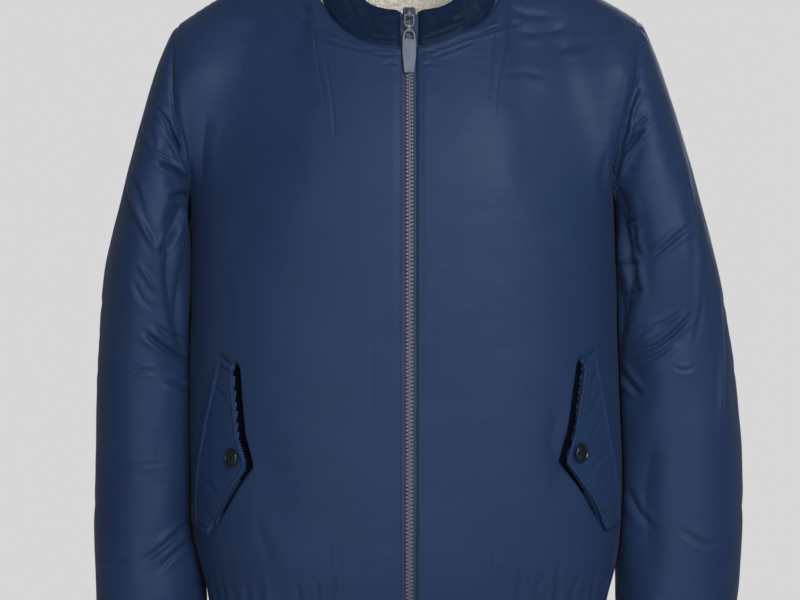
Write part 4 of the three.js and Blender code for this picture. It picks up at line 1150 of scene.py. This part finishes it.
FRONT_FOLDS = {
    Side.RIGHT: (
        Fold(((-176, -66), (-136, -84), (-98, -104)), 6, -2.2, 0.3),
        Fold(((-152, -92), (-126, -102), (-100, -114)), 3.5, -1.6, 0.35),
        Fold(((-134, -48), (-112, -66), (-94, -78)), 4.5, -2.2, 0.3),
        Fold(((-118, -34), (-104, -52), (-94, -66)), 3.4, -1.6, 0.3),
        Fold(((-104, -80), (-82, -86), (-60, -92), (-30, -98)), 1.9, -2.6, 0.2, sharp=0.8, fade=0.2),
        Fold(((-92, -68), (-78, -78), (-60, -86), (-44, -93)), 1.7, -1.8, 0.2, sharp=0.8, fade=0.2),
        Fold(((-38, -99), (-26, -101), (-12, -101)), 1.6, -1.4, 0.3, sharp=0.75),
        Fold(((-26, -111), (-18, -109), (-10, -112)), 1.6, -1.1, 0.3),
        Fold(((-168, -110), (-158, -120), (-146, -124)), 3, -0.8, 0.4),
        Fold(((-196, -150), (-202, -190), (-204, -236)), 5, -1.6, 0.4),
        Fold(((-36, -366), (-35, -411), (-36, -456)), 2.6, -0.45, 0.5),
        Fold(((-27, -420), (-28, -440), (-28, -460)), 2.2, -0.35, 0.5),
        Fold(((-150, -540), (-142, -570), (-130, -596)), 6, -0.9),
        Fold(((-190, -300), (-180, -330), (-172, -372)), 7, -0.8),
        Fold(((-92, -640), (-88, -624), (-90, -606)), 2.6, -1.1, 0.5),
        Fold(((-76, -642), (-74, -622), (-70, -598)), 2.6, -1.0, 0.5),
        Fold(((-108, -642), (-106, -626), (-110, -610)), 2.6, -0.9, 0.5),
        *facing_lines(Side.RIGHT),
    ),
    Side.LEFT: (
        Fold(((102, -76), (126, -76), (158, -70)), 3.6, -2.2, 0.3),
        Fold(((96, -50), (116, -58), (140, -58)), 3.6, -1.8, 0.3),
        Fold(((92, -122), (112, -117), (134, -122)), 3.5, -1.0),
        Fold(((12, -99), (34, -93), (58, -83), (94, -72)), 1.9, -2.6, 0.2, sharp=0.8, fade=0.2),
        Fold(((20, -104), (42, -96), (66, -86)), 1.6, -1.3, 0.3, sharp=0.75),
        Fold(((70, -78), (92, -72), (112, -66)), 1.9, -1.8, 0.3, sharp=0.75),
        Fold(((12, -112), (20, -110), (28, -113)), 1.6, -1.1, 0.3),
        Fold(((142, -96), (158, -90), (176, -92)), 4, -1.0, 0.4),
        Fold(((195, -190), (189, -222), (196, -246)), 3.4, -1.4, 0.4),
        Fold(((147, -440), (137, -474), (145, -495), (162, -515)), 5, -1.3, 0.4),
        Fold(((168, -578), (177, -583), (188, -580)), 3, -1.0),
        Fold(((51, -432), (54, -473), (54, -514)), 2.6, -0.45, 0.5),
        Fold(((23, -346), (23, -387), (23, -438)), 2.4, -0.4, 0.5),
        *gathers_of_left_waist(),
        *facing_lines(Side.LEFT),
    ),
}


# ------------------------------------------------------------------------------------ sleeves
def back_of_sleeve(side: Side) -> tuple[Fold, ...]:
    """The folds that a sleeve has at its back and down its outer side."""
    out = side.value

    def rear(path: Sequence[Sequence[float]], wide: float, deep: float, lips: float = 0.5) -> Fold:
        """A fold drawn from behind, its path given for the wearer's left sleeve."""
        return Fold(tuple((out * x, z) for x, z in path), wide, deep, lips, facing=Facing.REAR)

    outward = Facing.LEFT if side is Side.LEFT else Facing.RIGHT
    return (
        rear(((282, -186), (258, -206), (232, -240)), 4.5, -2.6),
        rear(((292, -214), (262, -226), (230, -252)), 3.4, -1.8),
        rear(((300, -266), (262, -284), (226, -294)), 4, -2.0),
        rear(((300, -330), (266, -348), (228, -372)), 4.2, -3.0),
        rear(((304, -352), (272, -366), (240, -388)), 3.2, -1.8),
        rear(((304, -388), (270, -394), (234, -402)), 4, -2.4),
        rear(((292, -446), (276, -510), (262, -570)), 7, 1.8, 0.4),
        rear(((302, -606), (272, -620), (240, -616)), 4, -1.8),
        rear(((296, -640), (268, -650), (238, -644)), 4, -1.6),
        Fold(((-34, -188), (-20, -236), (-26, -286)), 6, -1.4, facing=outward),
        Fold(((46, -330), (20, -347), (-18, -338)), 4.5, -1.1, 0.3, facing=outward),
        Fold(((50, -372), (24, -380), (-8, -372)), 3.6, -0.8, 0.3, facing=outward),
        Fold(((60, -416), (22, -404), (-12, -414)), 5, -1.1, 0.3, facing=outward),
        Fold(((-22, -524), (8, -562), (14, -612)), 7, -1.4, facing=outward),
    )


SLEEVE_FOLDS = {
    Side.RIGHT: (
        Fold(((-30, -186), (-6, -232), (-4, -300), (-10, -360)), 24, 3.6, 0, sharp=0, facing=Facing.LEFT),
        Fold(((-222, -228), (-232, -262), (-236, -320), (-228, -380)), 4.4, -4.2, 0.3, sharp=0.5, fade=0.2),
        Fold(((-224, -300), (-228, -350), (-222, -410)), 3.6, -3.5, 0.3, sharp=0.5, fade=0.3),
        Fold(((-240, -166), (-226, -186), (-217, -207), (-213, -230)), 2.8, -6.8, 0.45, sharp=0.75),
        Fold(((-250, -150), (-240, -160), (-232, -174)), 2, -2.3, 0.5, sharp=0.7),
        Fold(((-248, -203), (-230, -212), (-217, -226)), 2.3, -4.6, 0.5, sharp=0.75),
        Fold(((-256, -196), (-244, -196), (-230, -205)), 1.9, -1.9, 0.5, sharp=0.7),
        Fold(((-236, -238), (-226, -237), (-213, -232)), 3.1, -5.1, 0.3),
        Fold(((-263, -154), (-258, -174), (-251, -194)), 2.2, 2.3, 0.4),
        Fold(((-278, -216), (-262, -262), (-243, -297)), 2.7, 3.2, 0.4),
        Fold(((-276, -208), (-270, -222), (-262, -240)), 2.3, -1.9, 0.4),
        Fold(((-222, -240), (-231, -270), (-246, -300)), 2.7, -3.2, 0.45),
        Fold(((-265, -302), (-255, -318), (-246, -334)), 2.7, 2.6, 0.4),
        Fold(((-270, -318), (-262, -336), (-250, -350)), 2.8, -1.9, 0.4),
        Fold(((-264, -366), (-244, -383), (-214, -405)), 2.7, -4.6, 0.55, sharp=0.75),
        Fold(((-250, -362), (-236, -372), (-218, -380)), 2.2, -2.3, 0.5),
        Fold(((-272, -409), (-258, -408), (-248, -410)), 2, -1.8, 0.5),
        Fold(((-240, -418), (-226, -424), (-213, -436)), 2.7, -3, 0.5),
        Fold(((-312, -500), (-270, -501), (-232, -498)), 1.7, -0.9, 0.5),
        Fold(((-212, -554), (-238, -578), (-264, -597)), 2.8, -3.9, 0.55, sharp=0.7),
        Fold(((-214, -576), (-232, -590), (-248, -606)), 2.3, -2.3, 0.5),
        Fold(((-312, -594), (-290, -596), (-272, -592)), 2.2, -1.8, 0.4),
        Fold(((-226, -640), (-252, -654), (-286, -650)), 3.1, -2.6, 0.4),
        Fold(((-238, -450), (-247, -500), (-241, -545)), 9, -1.0),
        *back_of_sleeve(Side.RIGHT),
    ),
    Side.LEFT: (
        Fold(((-30, -186), (-6, -232), (-4, -300), (-10, -360)), 24, 3.6, 0, sharp=0, facing=Facing.RIGHT),
        Fold(((204, -224), (214, -262), (218, -320), (210, -380)), 4.4, -4.2, 0.3, sharp=0.5, fade=0.2),
        Fold(((206, -300), (210, -350), (205, -410)), 3.6, -3.5, 0.3, sharp=0.5, fade=0.3),
        Fold(((204, -256), (214, -262), (224, -258)), 2.3, -2.6, 0.4),
        Fold(((206, -306), (218, -300), (228, -304)), 2.3, -2.6, 0.4),
        Fold(((206, -336), (220, -332), (232, -326)), 2.3, -2.6, 0.4),
        Fold(((228, -126), (215, -150), (208, -186), (200, -228)), 2.7, -5.5, 0.45, sharp=0.75),
        Fold(((232, -166), (216, -187), (202, -208)), 2.5, -4.9, 0.5, sharp=0.75),
        Fold(((236, -158), (226, -166), (217, -178)), 1.9, -2.2, 0.5),
        Fold(((205, -240), (214, -282), (226, -342)), 3.1, -4.2, 0.5),
        Fold(((220, -262), (222, -284), (228, -300)), 2.3, -2.6, 0.5),
        Fold(((236, -298), (256, -281), (278, -263)), 2.3, -2.7, 0.5, sharp=0.7),
        Fold(((280, -350), (248, -380), (222, -390)), 2.3, -3.9, 0.55, sharp=0.75),
        Fold(((268, -350), (252, -360), (238, -366)), 1.9, -1.8, 0.5),
        Fold(((222, -375), (232, -369), (243, -362)), 1.9, -1.8, 0.5),
        Fold(((227, -402), (246, -391), (262, -377)), 2.2, -2.7, 0.5, sharp=0.7),
        Fold(((206, -402), (216, -418), (229, -434)), 2.7, -4.2, 0.5),
        Fold(((258, -404), (268, -408), (280, -405)), 1.9, -1.6, 0.5),
        Fold(((272, -198), (280, -262), (282, -340), (272, -388)), 2.7, 2.6, 0.45, 0.6),
        Fold(((305, -322), (308, -390), (305, -474)), 2.8, 2.3, 0.4, 0.6),
        Fold(((240, -470), (232, -530), (236, -600)), 8, -1.4),
        Fold(((214, -520), (226, -548), (244, -566)), 3.1, -2.3, 0.4),
        Fold(((262, -562), (290, -578), (316, -572)), 3.1, -1.6, 0.4),
        Fold(((226, -630), (256, -650), (300, -646)), 3.1, -2.6, 0.4),
        *back_of_sleeve(Side.LEFT),
    ),
}


def cuff_seam(line: np.ndarray) -> np.ndarray:
    """Tells which places on a sleeve's edge are at its cuff."""
    return line[:, 2] < -0.6


@dataclass
class Sleeve:
    """One set-in sleeve with its elasticated cuff."""

    side: Side
    cloth: float = 3 * MM
    flat: tuple[float, float] = (0.46, 0.64)
    area: float = 0.225
    cuff_flat: tuple[float, float] = (0.27, 0.055)
    ruffle_pitch: float = 7.5 * MM

    def build(self) -> None:
        """Shapes the sleeve and its cuff."""
        seed = 20 + 9 * self.side.value
        skin = Skin(f"sleeve_{self.side.word}", self.cloth, 3, None)
        skin.make_fine(SLEEVE_FOLDS[self.side], 8 * MM)
        skin.fold(SLEEVE_FOLDS[self.side], armhole_seam, 3.5 * MM)
        skin.undulate(1.1 * MM, 0.06, (1, 1, 1.4), seed)
        skin.undulate(0.45 * MM, 0.026, (1, 1, 1.2), seed + 3)
        skin.pucker(8 * MM, 0.8 * MM, 24 * MM, cuff_seam, seed)
        skin.pucker(15 * MM, 0.55 * MM, 22 * MM, lambda line: ~cuff_seam(line), seed + 1)
        skin.roll(1.3 * MM, 2.6 * MM)
        skin.tuck()
        piece = skin.piece(f"sleeve_{self.side.word}_cloth", self.cloth, Taffeta())
        self.build_cuff(seed + 5)

    def build_cuff(self, seed: float) -> None:
        """Shapes the cuff, ruffled by the elastic inside it."""
        skin = Skin(f"cuff_{self.side.word}", self.cloth, 3, None)
        ruffled(skin, self.ruffle_pitch, 1.0 * MM, (-0.698, -0.716, -0.734), seed)
        skin.roll(1.4 * MM, 2.4 * MM)
        skin.tuck(lambda line: line[:, 2] > line[:, 2].max() - 6 * MM)
        piece = skin.piece(f"cuff_{self.side.word}_cloth", self.cloth, Taffeta())


def ruffled(skin: Skin, pitch: float, deep: float, rows: Sequence[float], seed: float) -> None:
    """Ruffles a band round its elastic, and draws it in along the rows of sewing.

    Args:
        skin: The band's face.
        pitch: From one ruffle to the next.
        deep: Their height.
        rows: The heights of the rows of sewing.
        seed: Shifts the pattern.
    """
    _, along = skin.edge(lambda line: line[:, 2] > line[:, 2].max() - 4 * MM)
    height = skin.rest[:, 2]
    wander = ripple(np.stack([along, height * 0.3, along * 0], axis=1), pitch * 2.2, seed=seed)
    wave = np.sin(2 * math.pi * along / pitch + 3 * wander)
    drawn = sum(bell(height - row, 2.2 * MM) for row in rows)
    skin.press(deep * wave * (1 - 0.45 * drawn) - 0.9 * MM * drawn)


# ------------------------------------------------------------------------------------ waistband, collar
@dataclass
class Waistband:
    """The elasticated waistband."""

    cloth: float = 3 * MM
    flat: tuple[float, float] = (0.99, 0.055)
    ruffle_pitch: float = 9.5 * MM

    def build(self) -> None:
        """Shapes the band, flat beside the zip and ruffled from there round the back."""
        skin = Skin("waistband", self.cloth, 4, (0, 0, -0.68))
        ruffled(skin, self.ruffle_pitch, 1.2 * MM, (-0.663, -0.682, -0.701), 40)
        skin.roll(1.4 * MM, 2.6 * MM)
        skin.tuck(lambda line: line[:, 2] > -0.668)
        piece = skin.piece("waistband_cloth", self.cloth, Taffeta())


def collar_foot(line: np.ndarray) -> np.ndarray:
    """Tells which places on the collar's edge are at the neck seam, which rises towards the back."""
    return line[:, 2] < -0.068 + 0.42 * (line[:, 1] + 0.088)


COLLAR_FOLDS = (
    Fold(((-40, -60), (-36, -70), (-28, -78)), 2.4, -0.9, 0.5),
    Fold(((-50, -52), (-40, -66), (-22, -84)), 3, -1.0, 0.5),
    Fold(((-34, -82), (-22, -85), (-12, -85)), 2, -0.9, 0.5),
    Fold(((-62, -34), (-58, -50), (-50, -62)), 3, -0.9, 0.5),
    Fold(((14, -84), (32, -80), (50, -72)), 2, -0.9, 0.5),
    Fold(((34, -60), (42, -66), (54, -62)), 2.4, -0.9, 0.5),
    Fold(((58, -34), (60, -50), (64, -58)), 3, -0.9, 0.5),
    Fold(((-50, 10), (-30, 2), (-8, 8)), 4, -0.9, facing=Facing.REAR),
    Fold(((20, 34), (34, 20), (58, 16)), 4, -0.8, facing=Facing.REAR),
)


@dataclass
class Collar:
    """The stand collar and the pile that lines it."""

    cloth: float = 2.5 * MM
    flat: tuple[float, float] = (0.44, 0.056)
    lining_flat: tuple[float, float] = (0.43, 0.056)
    facing_top: float = 4 * MM
    facing_deep: float = 48 * MM
    facing_flat: tuple[float, float] = (0.26, 0.05)
    tuft: float = 3.6 * MM

    def build(self) -> None:
        """Shapes the outer cloth and the lining."""
        middle = (0, -9 * MM, 0)
        skin = Skin("collar", self.cloth, 4, middle)
        raise_neck(skin)
        skin.fold(COLLAR_FOLDS, collar_foot, 5 * MM)
        skin.undulate(0.7 * MM, 0.03, (1.4, 1, 0.8), 60)
        skin.undulate(0.3 * MM, 0.012, (1, 1, 0.7), 62)
        skin.pucker(11 * MM, 0.4 * MM, 12 * MM, None, 61)
        skin.groove(6 * MM, 0.6 * MM, 1.3 * MM, collar_foot)
        skin.groove(4 * MM, 0.4 * MM, 1.2 * MM, lambda line: ~collar_foot(line))
        skin.roll(1.2 * MM, 2.2 * MM)
        skin.roll(3.6 * MM, 2.6 * MM, zip_edge)
        skin.tuck(lambda line: collar_foot(line) & ~zip_edge(line), 6 * MM, 1.2 * MM)
        # The collar takes the darker copy of the cloth: painted shade.
        piece = skin.piece("collar_cloth", self.cloth, PaintedShadeTaffeta())
        self.build_lining(middle)
        self.build_facing()

    def tufts(self, places: np.ndarray) -> np.ndarray:
        """How high the pile's tufts stand at each place, from 1 at the middle of a tuft."""
        return 1 - np.array([noise.voronoi(Vector(place) / self.tuft)[0][0] for place in places])

    def build_lining(self, middle: Sequence[float]) -> None:
        """Shapes the lining into curly tufts on its inner face and along its top edge."""
        bm = welded("collar_lining")
        pair_triangles(bm, 50)
        mesh = evaluated(closed(bm, "lining"), "SUBSURF", levels=4, render_levels=4)
        places = vertex_array(mesh)
        normals = normal_array(mesh)
        inward = np.array(middle)[None, :2] - places[:, :2]
        looks_in = (normals[:, :2] * inward).sum(axis=1) / np.linalg.norm(inward, axis=1)
        curls = ripple(places, 1.7 * MM, seed=3)
        height = (1.5 * self.tufts(places) + 0.45 * curls) * MM
        places += normals * (height * smoothstep(looks_in, -0.5, 0.2))[:, None]
        move_to(mesh, places)
        mesh.shade_smooth()
        lining = shown("collar_pile", mesh, Pile())
        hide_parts("collar_lining")

    def build_facing(self) -> None:
        """Carries the pile on below the neck seam, inside the back, as far down as it shows."""
        skin = Skin("back", 3 * MM, 3)
        far, _ = skin.edge(lambda line: (line[:, 2] > -0.09) & (np.abs(line[:, 0]) < NECK_HALF))
        bm = opened(skin.mesh)
        beyond = [v for v in bm.verts if not self.facing_top < far[v.index] < self.facing_deep]
        bmesh.ops.delete(bm, geom=beyond, context="VERTS")
        bmesh.ops.subdivide_edges(bm, edges=bm.edges[:], cuts=1, use_grid_fill=True)
        bmesh.ops.reverse_faces(bm, faces=bm.faces[:])
        mesh = closed(bm, "facing")
        places = vertex_array(mesh)
        height = 4.2 * MM + 1.6 * MM * self.tufts(places)
        places += normal_array(mesh) * height[:, None]
        move_to(mesh, places)
        mesh = evaluated(mesh, "SOLIDIFY", thickness=1 * MM, offset=-1)
        mesh.shade_smooth()
        facing = shown("neck_pile", mesh, Pile())
        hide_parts("collar_lining")


# ------------------------------------------------------------------------------------ pockets
# The snap cap's outline from its foot round the rim to its crown, in shares of its radius and height.
CAP_OUTLINE = (
    (0, -0.4), (0.62, -0.4), (0.7, 0.05), (0.93, 0.02), (0.99, 0.2), (1, 0.45), (0.98, 0.72), (0.93, 0.9),
    (0.87, 0.97), (0.82, 0.9), (0.79, 0.7), (0.74, 0.62), (0.68, 0.7), (0.64, 0.86), (0.5, 0.95),
    (0.25, 1.0), (0, 1.0),
)


@dataclass
class Pocket:
    """A slanted flap over the mouth of its pocket, its sewing and the cap of its snap."""

    side: Side
    cloth: float = 2.4 * MM
    wall: float = 1 * MM
    flat: tuple[float, float] = (0.075, 0.20)
    area: float = 0.0085
    hem: float = 5 * MM
    lift: float = 1.8 * MM
    cap_radius: float = 9.2 * MM
    cap_high: float = 2.8 * MM
    cap_turn: float = 15
    border_step: float = 0.8 * MM
    skin: Skin = field(init=False)
    border: np.ndarray = field(init=False)
    border_free: np.ndarray = field(init=False)
    tree: KDTree = field(init=False)

    def cut(self) -> None:
        """Takes the flap's face and finds its edges."""
        self.skin = Skin(f"pocket_flap_{self.side.word}", self.cloth, 4, crisp=True)
        self.skin.relax(np.ones(len(self.skin.places)), 60)
        line = self.skin.loops[0]
        self.border = spaced(line, np.arange(0, lengths_along(line)[-1], self.border_step))
        self.border_free = self.free(self.border)
        self.tree = tree_of(self.border)

    def free(self, line: np.ndarray) -> np.ndarray:
        """Tells which places on the flap's edge are on the side that opens, towards the zip."""
        low, high = self.skin.rest[:, 2].min(), self.skin.rest[:, 2].max()
        up = (line[:, 2] - low) / (high - low)
        inner = {Side.RIGHT: (0.1925, 0.176), Side.LEFT: (0.1895, 0.172)}[self.side]
        across = inner[0] + (inner[1] - inner[0]) * up
        return (np.abs(line[:, 0]) < across) & (up > 0.035) & (up < 0.945)

    def off_edge(self, places: np.ndarray, normals: np.ndarray) -> tuple[np.ndarray, np.ndarray]:
        """How far places on the front are from the flap's edge above them, and how far it opens there.

        Args:
            places: The places.
            normals: The ways that the front looks there.

        Returns:
            The distances along the front, and the share that the flap's edge opens, from 0 to 1.
        """
        found = [self.tree.find(place)[1] for place in places]
        off = places - self.border[found]
        off -= normals * (off * normals).sum(axis=1)[:, None]
        far = np.linalg.norm(off, axis=1)
        opens = np.convolve(self.border_free, np.ones(17) / 17, "same")
        low, high = self.border[:, 2].min(), self.border[:, 2].max()
        up = (self.border[:, 2] - low) / (high - low)
        opens *= 0.5 + 0.5 * smoothstep(up, 0.25, 0.5)
        return far, opens[found]

    def folds(self) -> tuple[Fold, ...]:
        """The small pulls that run from the flap's sewn edge."""
        if self.side is Side.RIGHT:
            pulls = (
                ((199, -450), (190, -452), (180, -450)), ((201, -470), (194, -462), (188, -458)),
                ((201, -514), (193, -520), (186, -528)), ((203, -500), (196, -494), (190, -492)),
                ((190, -424), (184, -428), (178, -436)), ((202, -540), (196, -546), (190, -550)),
            )
        else:
            pulls = (
                ((190, -446), (182, -462), (174, -474)), ((192, -462), (184, -470), (174, -474)),
                ((194, -486), (184, -496), (176, -506)), ((184, -430), (178, -444), (170, -452)),
                ((196, -520), (190, -526), (182, -528)), ((182, -408), (178, -420), (176, -436)),
            )
        paths = [tuple((self.side.value * x, z) for x, z in path) for path in pulls]
        return tuple(Fold(path, 1.9, -1.3, 0.45, sharp=0.6, fade=0.25) for path in paths)

    def build(self) -> None:
        """Shapes the flap and puts its sewing and snap on it."""
        word = self.side.word
        skin = self.skin
        far, free = skin.edge(self.free)[0], skin.edge(lambda line: ~self.free(line))[0]
        skin.press(self.lift * np.exp(-far / (9 * MM)) * smoothstep(free, 0, 12 * MM))
        skin.press(1.2 * MM * bell(free - 3.0 * MM, 1.6 * MM) - 1.5 * MM * bell(free - 6.4 * MM, 1.5 * MM))
        skin.press(0.35 * MM * bell(far - 2.2 * MM, 1.5 * MM))
        skin.groove(self.hem, 0.6 * MM, 0.9 * MM, self.free)
        skin.fold(self.folds())
        skin.undulate(0.3 * MM, 0.02, seed=70 + self.side.value)
        skin.undulate(0.14 * MM, 0.007, seed=75 + self.side.value)
        skin.pucker(7 * MM, 0.3 * MM, 7 * MM, None, 71)
        skin.roll(0.8 * MM, 1.1 * MM)
        skin.press(-1.5 * MM * bell(free, 2.2 * MM))
        # The flap takes the lighter copy of the cloth: painted light.
        piece = skin.piece(f"pocket_flap_{word}_cloth", self.wall, PaintedLightFlapTaffeta())
        lines = inset_line(skin, self.free, self.hem)
        Stitching().sew(f"pocket_flap_{word}_stitching", lines, skin.tree())
        self.build_snap()

    def build_snap(self) -> None:
        """Turns the cap of the snap: a rolled rim, a dished ring and a low crown."""
        node = f"snap_{self.side.word}"
        places = vertex_array(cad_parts[node].data)
        middle = places.mean(axis=0)
        _, _, axes = np.linalg.svd(places - middle)
        normal = Vector(axes[2])
        if normal.y > 0:
            normal.negate()
        foot = Vector(middle) - normal * (self.cap_high / 2 - 0.5 * self.lift)
        normal.rotate(Matrix.Rotation(math.radians(self.cap_turn * self.side.value), 3, "Z"))
        bm = bmesh.new()
        ring = [bm.verts.new((out * self.cap_radius, 0, up * self.cap_high)) for out, up in CAP_OUTLINE]
        edges = [bm.edges.new(pair) for pair in zip(ring, ring[1:])]
        bmesh.ops.spin(
            bm, geom=ring + edges, cent=(0, 0, 0), axis=(0, 0, 1), angle=math.tau, steps=48, use_merge=True,
        )
        bmesh.ops.remove_doubles(bm, verts=bm.verts, dist=0.01 * MM)
        bmesh.ops.recalc_face_normals(bm, faces=bm.faces)
        turn = Vector((0, 0, 1)).rotation_difference(normal).to_matrix().to_4x4()
        bmesh.ops.transform(bm, matrix=Matrix.Translation(foot) @ turn, verts=bm.verts)
        cap = shown(f"{node}_cap", mesh_of(bm, node, 60), Gunmetal())
        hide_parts(node)


# ------------------------------------------------------------------------------------ zip
@dataclass
class Zip:
    """The front zip: two rows of moulded teeth on their tapes, the slider, the link and the pull."""

    pitch: float = 3.76 * MM
    tooth_long: float = 2.5 * MM
    tooth_high: float = 2.95 * MM
    tooth_deep: float = 2.5 * MM
    head_high: float = 1.8 * MM
    head_long: float = 2.7 * MM
    chain_half: float = 3.6 * MM
    tooth_round: float = 0.45 * MM
    chain_thick: float = 3.4 * MM

    def chain_line(self) -> tuple[np.ndarray, np.ndarray]:
        """The middle line of the teeth, from the box up to the slider, and the way their face looks."""
        places = vertex_array(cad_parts["zip_chain"].data)
        right = np.unique(np.round(places[places[:, 0] > 0] / (0.01 * MM)) * 0.01 * MM, axis=0)
        pairs = []
        for point in right:
            far = np.abs(np.linalg.norm(right - point, axis=1) - self.chain_thick)
            partner = right[far.argmin()]
            if point[1] < partner[1]:
                pairs.append((point, partner))
        pairs.sort(key=lambda pair: pair[0][2])
        middle = np.array([(front + back) / 2 for front, back in pairs])
        normal = np.array([(front - back) / self.chain_thick for front, back in pairs])
        middle[:, 0] = 0
        normal[:, 0] = 0
        return smooth_line(middle, 8), smooth_line(normal, 8)

    def tooth(self, bm: bmesh.types.BMesh, side: int, place: Matrix) -> None:
        """Adds one tooth: a block round the tape's cord, with a slimmer head that meets the other row."""
        bar = (self.tooth_long, self.tooth_deep, self.tooth_high)
        head = (self.head_long, self.tooth_deep * 0.94, self.head_high)
        for size, out in ((bar, self.chain_half - self.tooth_long / 2), (head, 0.1 * MM)):
            where = place @ Matrix.Translation((side * out, 0, 0)) @ Matrix.Diagonal((*size, 1))
            made = bmesh.ops.create_cube(bm, size=1, matrix=where)
            edges = list({edge for vert in made["verts"] for edge in vert.link_edges})
            bmesh.ops.bevel(
                bm, geom=edges, offset=self.tooth_round, offset_type="OFFSET", affect="EDGES", segments=2,
                profile=0.5, material=-1,
            )

    def build_teeth(self) -> None:
        """Sets both rows of teeth along the chain."""
        line, normals = self.chain_line()
        along = lengths_along(line)
        count = int(along[-1] / (self.pitch / 2))
        rows = {side: bmesh.new() for side in Side}
        for index in range(count):
            place = (index + 0.5) * self.pitch / 2
            point = Vector([np.interp(place, along, column) for column in line.T])
            normal = Vector([np.interp(place, along, column) for column in normals.T]).normalized()
            up = Vector((1, 0, 0)).cross(-normal)
            turn = Matrix((Vector((1, 0, 0)), -normal, up)).transposed().to_4x4()
            side = Side.LEFT if index % 2 else Side.RIGHT
            self.tooth(rows[side], side.value, Matrix.Translation(point) @ turn)
        for side, bm in rows.items():
            teeth = shown(f"zip_teeth_{side.word}", mesh_of(bm, "teeth", 35), Moulded())
            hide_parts("zip_chain")

    def build_tape(self, side: Side) -> None:
        """Smooths a tape along its length and keeps its edges."""
        node = f"zip_tape_{side.word}"
        bm = welded(node)
        pair_triangles(bm, 20)
        creased = bm.edges.layers.float.new("crease_edge")
        for edge in bm.edges:
            if edge.calc_face_angle(0) > math.radians(50):
                edge[creased] = 1
        mesh = evaluated(closed(bm, node), "SUBSURF", levels=3, render_levels=3)
        mesh.shade_smooth()
        mesh.set_sharp_from_angle(angle=math.radians(40))
        tape = shown(f"{node}_cloth", mesh, Tape())
        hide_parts(node)

    def build(self) -> None:
        """Builds the zip and gives its metal parts their finish."""
        self.build_teeth()
        for side in Side:
            self.build_tape(side)
        # The slider takes the darker copy of the lacquer: painted shade.
        dress("zip_slider", ShadedSliderLacquer())
        dress("zip_link", Lacquer())
        dress("zip_pull", Lacquer())
        dress("zip_box", Moulded())


def dress(node: str, finish: Finish) -> None:
    """Gives a CAD node its finish."""
    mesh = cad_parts[node].data
    mesh.materials.clear()
    mesh.materials.append(finish.material())


# ------------------------------------------------------------------------------------ studio
@dataclass
class Studio:
    """The pale floor, the soft lights and the camera."""

    camera_place: tuple[float, float, float] = (-0.009, -3.0, -0.339)
    lens: float = 135
    floor_z: float = -1.5
    floor_radius: float = 7
    backdrop: tuple[float, float, float] = (0.68, 0.68, 0.68)
    ambient: float = 0.34

    def build(self) -> None:
        """Sets up the stage."""
        self.build_floor()
        self.build_light("key", (1.15, -2.75, 1.0), (0.05, 0, -0.35), 1.5, 102)
        self.build_light("fill", (-1.0, -3.5, -0.7), (-0.05, 0, -0.45), 2.0, 46)
        self.build_light("back", (0.5, 2.6, 0.8), (0, 0, -0.3), 1.8, 34)
        self.build_world()
        bpy.context.scene.view_settings.view_transform = "Standard"
        camera = bpy.data.objects.new("camera", bpy.data.cameras.new("camera"))
        camera.data.lens = self.lens
        camera.data.sensor_width = 36
        camera.location = self.camera_place
        camera.rotation_euler = (math.pi / 2, 0, 0)
        bpy.context.scene.collection.objects.link(camera)
        bpy.context.scene.camera = camera

    def build_world(self) -> None:
        """Surrounds the stage with the backdrop's grey, which lights the jacket less than it shows."""
        world = bpy.data.worlds.new("studio")
        world.use_nodes = True
        tree = world.node_tree
        shown_to = tree.nodes.new("ShaderNodeLightPath").outputs["Is Camera Ray"]
        strength = tree.nodes.new("ShaderNodeMapRange")
        strength.inputs["To Min"].default_value = self.ambient
        tree.links.new(shown_to, strength.inputs["Value"])
        background = tree.nodes["Background"]
        background.inputs["Color"].default_value = (*self.backdrop, 1)
        tree.links.new(strength.outputs["Result"], background.inputs["Strength"])
        bpy.context.scene.world = world

    def build_floor(self) -> None:
        """Lays a wide round floor well below the hem."""
        bm = bmesh.new()
        place = Matrix.Translation((0, 0, self.floor_z))
        bmesh.ops.create_circle(bm, cap_ends=True, segments=96, radius=self.floor_radius, matrix=place)
        mesh = mesh_of(bm, "floor")
        weaver = Weaver("pale floor")
        weaver.set(Base_Color=(*self.backdrop, 1), Roughness=0.9)
        mesh.materials.append(weaver.material)
        floor = bpy.data.objects.new("floor", mesh)
        bpy.context.scene.collection.objects.link(floor)

    def build_light(self, name: str, place: Sequence[float], target: Sequence[float], size: float,
                    watts: float) -> None:
        """Hangs a square soft light that looks at a target."""
        lamp = bpy.data.lights.new(name, "AREA")
        lamp.size = size
        lamp.energy = watts
        obj = bpy.data.objects.new(name, lamp)
        obj.location = place
        obj.rotation_euler = (Vector(target) - Vector(place)).to_track_quat("-Z", "Y").to_euler()
        bpy.context.scene.collection.objects.link(obj)


def main() -> None:
    """Builds the jacket piece by piece."""
    logging.basicConfig(level=logging.INFO, format="%(name)s %(message)s")
    Studio().build()
    Panel("back", BACK_FOLDS, flat=(0.62, 0.68), area=0.36, seed=5).build()
    for side in Side:
        pocket = Pocket(side)
        pocket.cut()
        front = Front(
            f"front_{side.word}", FRONT_FOLDS[side], flat=(0.33, 0.68), area=0.175, seed=11 + side.value,
            side=side, pocket=pocket,
        )
        front.build()
        pocket.build()
    for side in Side:
        Sleeve(side).build()
    Waistband().build()
    Collar().build()
    Zip().build()


if __name__ == "__main__":
    main()
